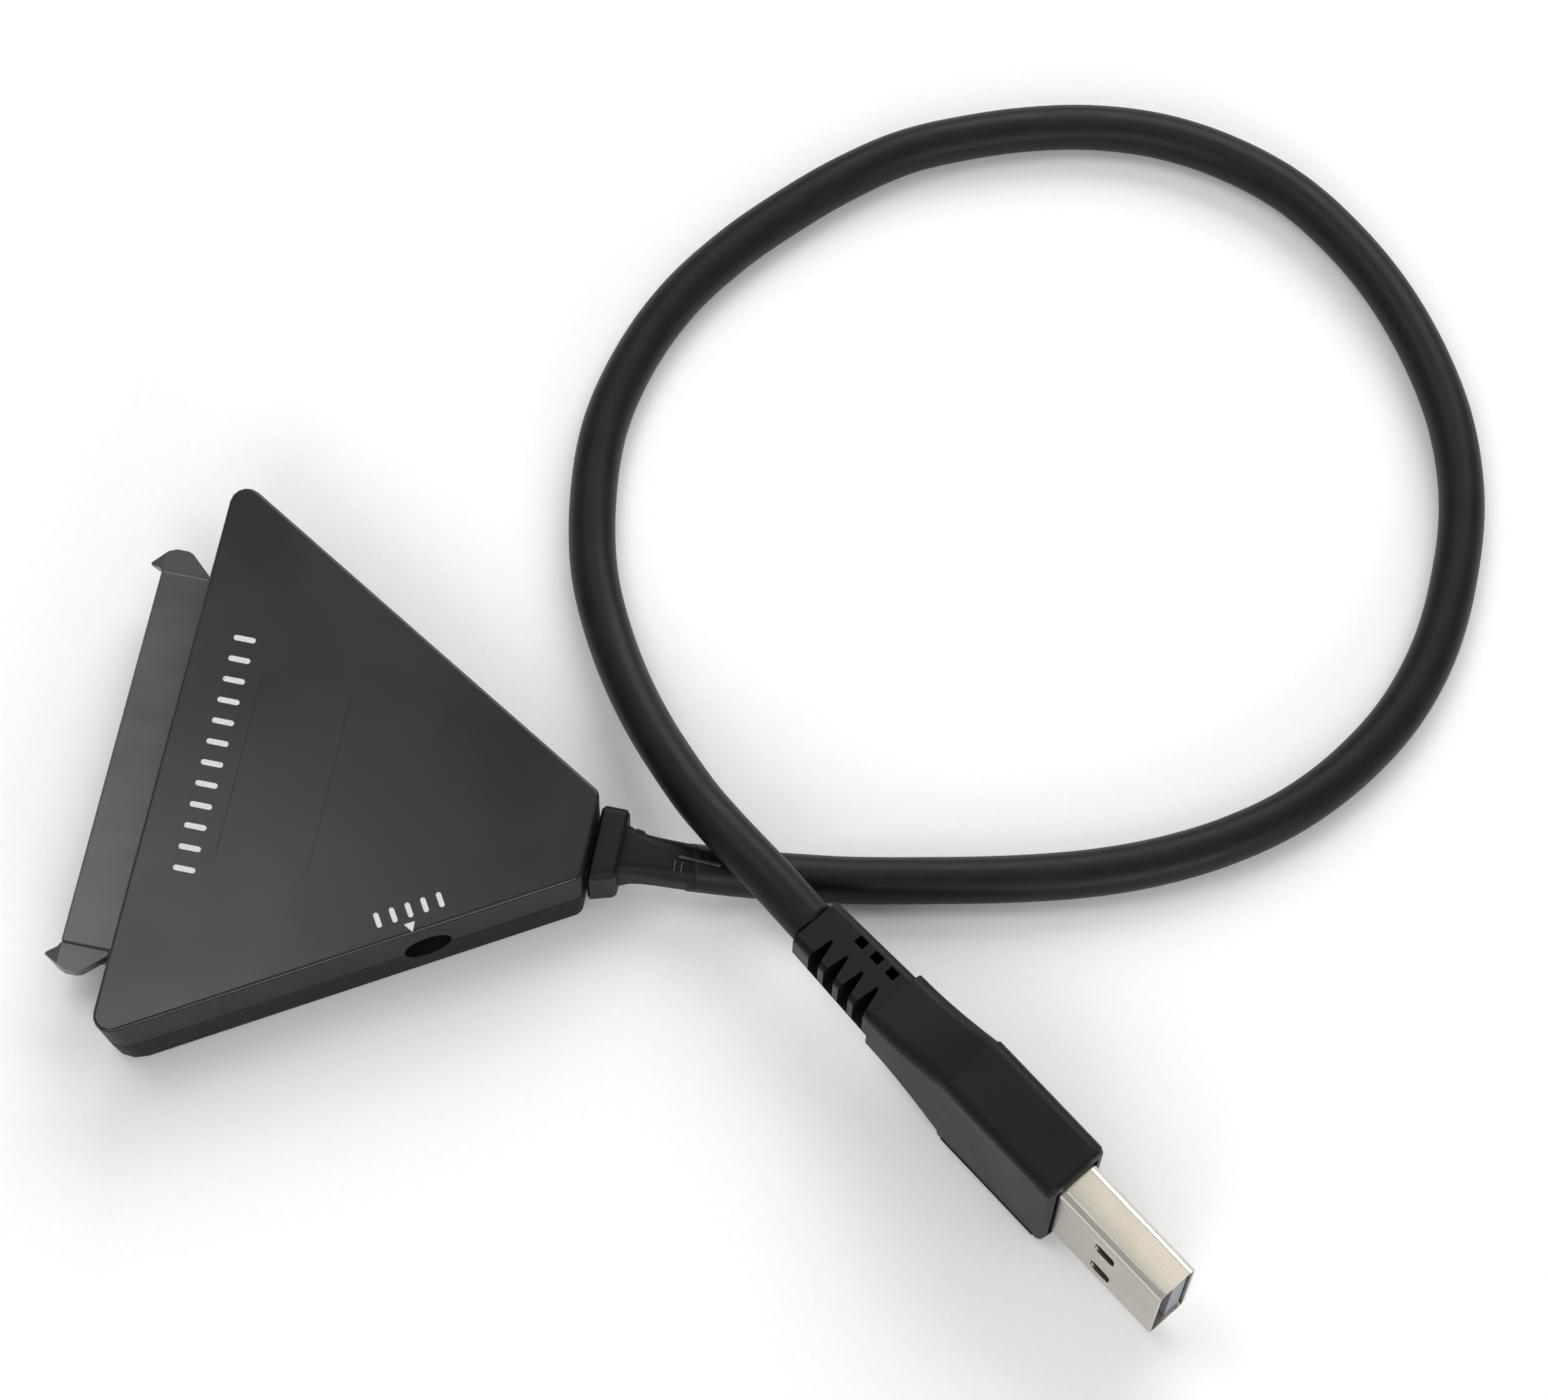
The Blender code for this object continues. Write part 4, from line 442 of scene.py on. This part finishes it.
def bar_outline(centre, turn, length, width):
    """A bar with round ends: two half circles of the bar's own width, joined by straight sides."""
    angle = angles_round(MARK_SIDES) + math.pi / MARK_SIDES
    local = np.stack([np.cos(angle), np.sin(angle)], axis=1) * width / 2
    local[:, 0] += np.sign(local[:, 0]) * (length - width) / 2
    return turn_plan(local, turn) + centre


def arrow_outline(centre, turn, side):
    """A three-sided arrow head with blunt tips.

    The rim lies at the distance from the middle to a side, over the cosine of the turn from that
    side's middle, and never further out than where the tips are blunted.
    """
    angle = angles_round(MARK_SIDES)
    from_side = (angle + math.pi / 3) % (2 * math.pi / 3) - math.pi / 3
    rim = np.minimum(side / math.sqrt(12) / np.cos(from_side), side * ARROW_BLUNT)
    local = np.stack([rim * np.cos(angle), rim * np.sin(angle)], axis=1)
    return turn_plan(local, turn) + centre


def print_marks(finish):
    """Plain white marks: a row of dashes along the receptacle's side, a shorter one at the jack, and
    an arrow that points to the jack."""
    marks = []
    for index in range(ROW_DASHES):
        place = np.array([BACK_X + ROW_FROM_BACK, ROW_START + index * ROW_PITCH])
        marks.append(bar_outline(place, 0.0, *ROW_DASH))
    run = np.array([math.cos(SIDE_SLANT), math.sin(SIDE_SLANT)])
    outward = np.array([math.sin(SIDE_SLANT), -math.cos(SIDE_SLANT)])
    across = SIDE_SLANT + math.pi / 2
    for index in range(JACK_DASHES):
        place = JACK_ROW + run * (index - JACK_DASHES // 2) * JACK_PITCH
        marks.append(bar_outline(place, across, *JACK_DASH))
    arrow = JACK_ROW + run * ARROW_ALONG + outward * ARROW_OUTWARD
    marks.append(arrow_outline(arrow, across, ARROW_SIDE))
    points = []
    faces = []
    first = 0
    for outline in marks:
        film, corners = ink_film(outline)
        points.append(film)
        faces += [[corner + first for corner in face] for face in corners]
        first += len(film)
    add_piece("print_marks", np.concatenate(points), faces, finish)


# Finishes
def new_finish(name, roughness, metallic=0.0, gloss=0.5):
    """An empty finish, its node tree, its shader and the piece's own coordinates."""
    finish = bpy.data.materials.new(name)
    finish.use_nodes = True
    tree = finish.node_tree
    shader = tree.nodes["Principled BSDF"]
    shader.inputs["Roughness"].default_value = roughness
    shader.inputs["Metallic"].default_value = metallic
    shader.inputs["Specular IOR Level"].default_value = gloss
    place = tree.nodes.new("ShaderNodeTexCoord")
    return finish, tree, shader, place


def stretched(tree, place, scale, turn=0.0):
    """Coordinates turned back about the upright axis, then multiplied by a scale on each axis."""
    mapping = tree.nodes.new("ShaderNodeMapping")
    mapping.vector_type = "TEXTURE"
    mapping.inputs["Rotation"].default_value = (0.0, 0.0, turn)
    mapping.inputs["Scale"].default_value = tuple(1 / part for part in scale)
    tree.links.new(place, mapping.inputs["Vector"])
    return mapping.outputs["Vector"]


def grain(tree, place, scale, detail=2.0, rough=0.5):
    """Noise of so many lumps to the metre."""
    noise = tree.nodes.new("ShaderNodeTexNoise")
    noise.inputs["Scale"].default_value = scale
    noise.inputs["Detail"].default_value = detail
    noise.inputs["Roughness"].default_value = rough
    tree.links.new(place, noise.inputs["Vector"])
    return noise.outputs["Fac"]


def spread(tree, value, low, high, to_low, to_high):
    """A value's range from low to high taken to another range."""
    node = tree.nodes.new("ShaderNodeMapRange")
    for socket, number in zip(
            ("From Min", "From Max", "To Min", "To Max"), (low, high, to_low, to_high)):
        node.inputs[socket].default_value = number
    tree.links.new(value, node.inputs["Value"])
    return node.outputs["Result"]


def tones(tree, value, stops):
    """A colour for each value, blended between stops of (place, colour)."""
    ramp = tree.nodes.new("ShaderNodeValToRGB")
    elements = ramp.color_ramp.elements
    while len(elements) < len(stops):
        elements.new(0.5)
    for element, (place, colour) in zip(elements, stops):
        element.position = place
        element.color = (*colour, 1.0)
    tree.links.new(value, ramp.inputs["Fac"])
    return ramp.outputs["Color"]


def relief(tree, shader, layers):
    """Bump from (height, depth in metres) layers, each laid on the one before."""
    under = None
    for height, depth in layers:
        bump = tree.nodes.new("ShaderNodeBump")
        bump.inputs["Distance"].default_value = depth
        bump.inputs["Strength"].default_value = 1.0
        tree.links.new(height, bump.inputs["Height"])
        if under:
            tree.links.new(under, bump.inputs["Normal"])
        under = bump.outputs["Normal"]
    tree.links.new(under, shader.inputs["Normal"])


def moulded(name, dark, light, roughness, grain_size, depth, swell=0.004 * MM, mottle=6 * MM,
            gloss=0.5):
    """Moulded plastic: a spark-eroded grain, slow colour mottling and uneven gloss.

    grain_size is the width of one grain and depth its height. mottle is the size of the patches,
    and swell the height of the slow swellings, which are a third of that size.
    """
    finish, tree, shader, place = new_finish(name, roughness, gloss=gloss)
    own = place.outputs["Object"]
    patches = grain(tree, own, 1 / mottle, 3.0)
    fine = grain(tree, own, 1 / grain_size, 2.0, 0.6)
    tree.links.new(
        tones(tree, patches, [(NOISE_LOW, dark), (NOISE_HIGH, light)]),
        shader.inputs["Base Color"])
    tree.links.new(
        spread(tree, patches, NOISE_LOW, NOISE_HIGH, roughness - 0.04, roughness + 0.05),
        shader.inputs["Roughness"])
    relief(tree, shader, [(grain(tree, own, 1 / (mottle / 3), 1.0), swell), (fine, depth)])
    return finish


def jacket_finish():
    """Satin PVC: fine lines drawn along the cable, faint scuffs across it."""
    finish, tree, shader, place = new_finish("cable_pvc", 0.42, gloss=0.21)
    own = place.outputs["UV"]
    drawn = grain(tree, stretched(tree, own, (5200.0, 60.0, 1.0)), 1.0, 2.0)
    scuffs = grain(tree, stretched(tree, own, (400.0, 260.0, 1.0)), 1.0, 3.0)
    tree.links.new(
        tones(tree, scuffs, [(0.35, (0.0050, 0.0052, 0.0054)), (0.7, (0.0080, 0.0082, 0.0084))]),
        shader.inputs["Base Color"])
    tree.links.new(
        spread(tree, scuffs, NOISE_LOW, NOISE_HIGH, 0.38, 0.48), shader.inputs["Roughness"])
    relief(tree, shader, [(scuffs, 0.006 * MM), (drawn, 0.004 * MM)])
    return finish


def metal_finish(name, dark, light, roughness):
    """Plated sheet: fine rolling lines along the plug, and a slow warm and cool drift."""
    finish, tree, shader, place = new_finish(name, roughness, metallic=1.0)
    own = place.outputs["Object"]
    lines = grain(tree, stretched(tree, own, (200.0, 9000.0, 9000.0), PLUG_HEADING), 1.0, 3.0)
    drift = grain(tree, own, 260.0, 2.0)
    tree.links.new(
        tones(tree, drift, [(NOISE_LOW, dark), (NOISE_HIGH, light)]),
        shader.inputs["Base Color"])
    tree.links.new(
        spread(tree, lines, NOISE_LOW, NOISE_HIGH, roughness - 0.03, roughness + 0.04),
        shader.inputs["Roughness"])
    relief(tree, shader, [(lines, 0.0006 * MM)])
    return finish


def board_finish():
    """Green solder mask over faint copper lines."""
    finish, tree, shader, place = new_finish("board_mask", 0.35)
    wave = tree.nodes.new("ShaderNodeTexWave")
    wave.inputs["Scale"].default_value = 420.0
    wave.inputs["Distortion"].default_value = 3.0
    tree.links.new(place.outputs["Object"], wave.inputs["Vector"])
    tree.links.new(
        tones(tree, wave.outputs["Fac"], [(0.45, (0.012, 0.07, 0.032)), (0.6, (0.02, 0.11, 0.05))]),
        shader.inputs["Base Color"])
    relief(tree, shader, [(wave.outputs["Fac"], 0.01 * MM)])
    return finish


def ink_finish():
    """White screen print, slightly uneven, with pinholes."""
    finish, tree, shader, place = new_finish("white_ink", 0.5)
    cover = grain(tree, place.outputs["Object"], 5200.0, 3.0, 0.7)
    tree.links.new(
        tones(tree, cover, [(0.3, (0.36, 0.36, 0.36)), (0.48, (0.62, 0.62, 0.61))]),
        shader.inputs["Base Color"])
    relief(tree, shader, [(cover, 0.004 * MM)])
    return finish


# Dressing the part
def dress_housing():
    """Satin roof and floor, matt walls that are darker low down by painted shade, and the grey
    receptacle.
    """
    satin = moulded(
        "charcoal_satin", (0.0098, 0.0100, 0.0103), (0.0112, 0.0114, 0.0117), roughness=0.22,
        grain_size=0.16 * MM, depth=0.0012 * MM, swell=0.0008 * MM, mottle=12 * MM, gloss=0.42)
    matt = moulded(
        "charcoal_matt", (0.0085, 0.0085, 0.0085), (0.0115, 0.0115, 0.0115), roughness=0.5,
        grain_size=0.14 * MM, depth=0.006 * MM, mottle=7 * MM, gloss=0.16)
    # The bottom cover's walls take a darker, less glossy copy of the matt charcoal: painted shade, not
    # a different plastic.
    matt_painted_shade = moulded(
        "charcoal_painted_shade", (0.0060, 0.0060, 0.0060), (0.0080, 0.0080, 0.0080), roughness=0.5,
        grain_size=0.14 * MM, depth=0.006 * MM, mottle=7 * MM, gloss=0.08)
    grey = moulded(
        "receptacle_nylon", (0.038, 0.039, 0.040), (0.062, 0.063, 0.063), roughness=0.24,
        grain_size=0.2 * MM, depth=0.003 * MM, swell=0.05 * MM, mottle=14 * MM)
    make_skin("top_cover", satin, 0.10 * MM, sides=matt, reshape=fade_recess)
    make_skin("bottom_cover", satin, 0.10 * MM, sides=matt_painted_shade)
    make_skin("sata_insulator", grey, 0.08 * MM)


def dress_cord_ends():
    """The strain relief at the housing and the plug, as a list of the pieces that the cable carries."""
    rubber = moulded(
        "relief_pvc", (0.0035, 0.0035, 0.0035), (0.006, 0.006, 0.006), roughness=0.5,
        grain_size=0.15 * MM, depth=0.005 * MM, gloss=0.2)
    # Ridge finish: glossier than the relief rubber, which is real, and several times lighter, which is
    # painted highlight.
    ridge = moulded(
        "ridge_pvc_painted_highlight", (0.012, 0.012, 0.012), (0.020, 0.020, 0.020), roughness=0.28,
        grain_size=0.1 * MM, depth=0.002 * MM)
    overmould = moulded(
        "overmould_pvc", (0.0040, 0.0040, 0.0040), (0.0070, 0.0068, 0.0068), roughness=0.44,
        grain_size=0.15 * MM, depth=0.005 * MM, swell=0.07 * MM, mottle=12 * MM, gloss=0.19)
    tongue = moulded(
        "tongue_nylon", (0.185, 0.19, 0.21), (0.235, 0.24, 0.265), roughness=0.45,
        grain_size=0.12 * MM, depth=0.005 * MM)
    nickel = metal_finish("nickel_plate", (0.66, 0.62, 0.545), (0.72, 0.685, 0.605), 0.20)
    # The shell's upright sides take a darker copy of the same nickel: painted shade.
    nickel_painted_shade = metal_finish("nickel_plate_painted_shade", (0.51, 0.46, 0.405), (0.56, 0.51, 0.45), 0.22)
    gland = make_skin("cable_gland", rubber, 0.10 * MM)
    grip = make_skin("plug_overmould", overmould, 0.25 * MM)
    shell = make_skin(
        "plug_shell", nickel, 0.04 * MM, sides=nickel_painted_shade, reshape=round_shell)
    inner = make_skin(
        "plug_insulator", tongue, 0.04 * MM, reshape=extend_tongue)
    make_flash(ridge, overmould)
    return [grip, shell, gland, inner]


def core_finish(node, tone):
    """The coloured sleeve of one core."""
    pale = tuple(min(1.0, part * 1.15 + 0.01) for part in tone)
    return moulded(
        node + "_sleeve", tone, pale, roughness=0.4, grain_size=0.1 * MM, depth=0.003 * MM,
        mottle=1 * MM)


def dress_small_pieces():
    """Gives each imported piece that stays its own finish."""
    gold = metal_finish("gold_flash", (0.78, 0.55, 0.22), (0.88, 0.66, 0.30), 0.26)
    steel = metal_finish("drawn_steel", (0.56, 0.55, 0.52), (0.66, 0.65, 0.62), 0.32)
    epoxy = moulded(
        "chip_epoxy", (0.014, 0.014, 0.015), (0.024, 0.024, 0.025), roughness=0.5,
        grain_size=0.08 * MM, depth=0.006 * MM, mottle=2 * MM)
    ferrite = moulded(
        "ferrite", (0.045, 0.043, 0.042), (0.07, 0.068, 0.065), roughness=0.62,
        grain_size=0.1 * MM, depth=0.01 * MM, mottle=1.5 * MM)
    ceramic = moulded(
        "ceramic", (0.36, 0.23, 0.13), (0.46, 0.31, 0.19), roughness=0.4,
        grain_size=0.1 * MM, depth=0.004 * MM, mottle=1 * MM)
    black = moulded(
        "jack_nylon", (0.010, 0.010, 0.010), (0.018, 0.018, 0.018), roughness=0.42,
        grain_size=0.12 * MM, depth=0.006 * MM)
    cores = {
        "wire_power": (0.55, 0.02, 0.02), "wire_ground": (0.02, 0.02, 0.02),
        "wire_data_plus": (0.02, 0.30, 0.06), "wire_data_minus": (0.80, 0.80, 0.78),
        "transmit_pair": (0.02, 0.08, 0.45), "receive_pair": (0.75, 0.25, 0.02)}
    chosen = {
        "circuit_board": board_finish(), "bridge_chip": epoxy, "flash_chip": epoxy,
        "regulator_chip": epoxy, "crystal_can": steel, "power_inductor": ferrite,
        "dc_jack_body": black, "dc_jack_pin": steel, "dc_jack_spring": steel}
    for node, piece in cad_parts.items():
        finish = chosen.get(node)
        if node in cores:
            finish = core_finish(node, cores[node])
        elif "contact" in node:
            finish = gold
        elif node.startswith("capacitor"):
            finish = ceramic
        if finish and not piece.hide_render:
            piece.data.materials.clear()
            piece.data.materials.append(finish)


# Floor, lights and camera
def make_floor():
    """A pale sheet under the part, fine toothed like card."""
    finish, tree, shader, place = new_finish("pale_card", 0.7)
    tooth = grain(tree, place.outputs["Object"], 1500.0, 2.0)
    tree.links.new(
        tones(tree, tooth, [(NOISE_LOW, (0.92, 0.92, 0.92)), (NOISE_HIGH, (0.94, 0.94, 0.94))]),
        shader.inputs["Base Color"])
    mesh = bpy.data.meshes.new("floor")
    corners = [(-1, -1), (1, -1), (1, 1), (-1, 1)]
    mesh.from_pydata(
        [(x * FLOOR_REACH, y * FLOOR_REACH, 0) for x, y in corners], [], [(0, 1, 2, 3)])
    mesh.materials.append(finish)
    floor = bpy.data.objects.new("floor", mesh)
    bpy.context.scene.collection.objects.link(floor)


def add_light(name, place, aim, size, power, colour=(1.0, 1.0, 1.0)):
    """A soft rectangular light that faces its aim."""
    light = bpy.data.lights.new(name, "AREA")
    light.shape = "RECTANGLE"
    light.size, light.size_y = size
    light.energy = power
    light.color = colour
    lamp = bpy.data.objects.new(name, light)
    bpy.context.scene.collection.objects.link(lamp)
    lamp.location = place
    lamp.rotation_euler = (Vector(aim) - Vector(place)).to_track_quat("-Z", "Y").to_euler()


def make_lights():
    """Plain studio light: a pale surround, boxes overhead left and right, a bank behind, and a fill
    and a strip in front."""
    world = bpy.data.worlds.new("surround")
    world.use_nodes = True
    background = world.node_tree.nodes["Background"]
    background.inputs["Color"].default_value = (0.97, 0.98, 1.0, 1.0)
    background.inputs["Strength"].default_value = 0.44
    bpy.context.scene.world = world
    add_light("left_box", place=(-0.225, 0.075, 0.62), aim=(-0.225, 0.076, 0.0),
              size=(0.31, 0.26), power=0.85)
    add_light("right_box", place=(0.20, 0.12, 0.62), aim=(0.20, 0.121, 0.0),
              size=(0.24, 0.24), power=0.14, colour=(1.0, 0.93, 0.80))
    add_light("back_bank", place=(0.12, 0.56, 0.42), aim=(0.04, 0.02, 0.0),
              size=(0.6, 0.4), power=2.8)
    add_light("front_fill", place=(0.02, -0.60, 0.50), aim=(0.04, 0.0, 0.0),
              size=(0.4, 0.4), power=1.4)
    add_light("front_strip", place=(0.42, -0.50, 0.24), aim=(0.0, -0.02, 0.0),
              size=(0.3, 0.12), power=1.1)


def make_camera():
    """The photograph's viewpoint."""
    data = bpy.data.cameras.new("photo_camera")
    data.sensor_width = SENSOR_WIDTH
    data.lens = CAMERA_LENS
    data.clip_start = 0.01
    data.clip_end = 20.0
    data.dof.use_dof = False
    camera = bpy.data.objects.new("photo_camera", data)
    bpy.context.scene.collection.objects.link(camera)
    columns = Matrix([CAMERA_RIGHT, CAMERA_UP, CAMERA_BACK]).transposed()
    camera.matrix_world = Matrix.Translation(CAMERA_PLACE) @ columns.to_4x4()
    bpy.context.scene.camera = camera


def main():
    """Camera and cable first, then skins, marks and small pieces, then floor and lights."""
    make_camera()
    cable, line = make_cable(jacket_finish())
    dress_housing()
    plug = dress_cord_ends()
    print_marks(ink_finish())
    dress_small_pieces()
    declare_cord(plug)
    make_floor()
    make_lights()
    bpy.context.scene.view_settings.view_transform = "Standard"


main()
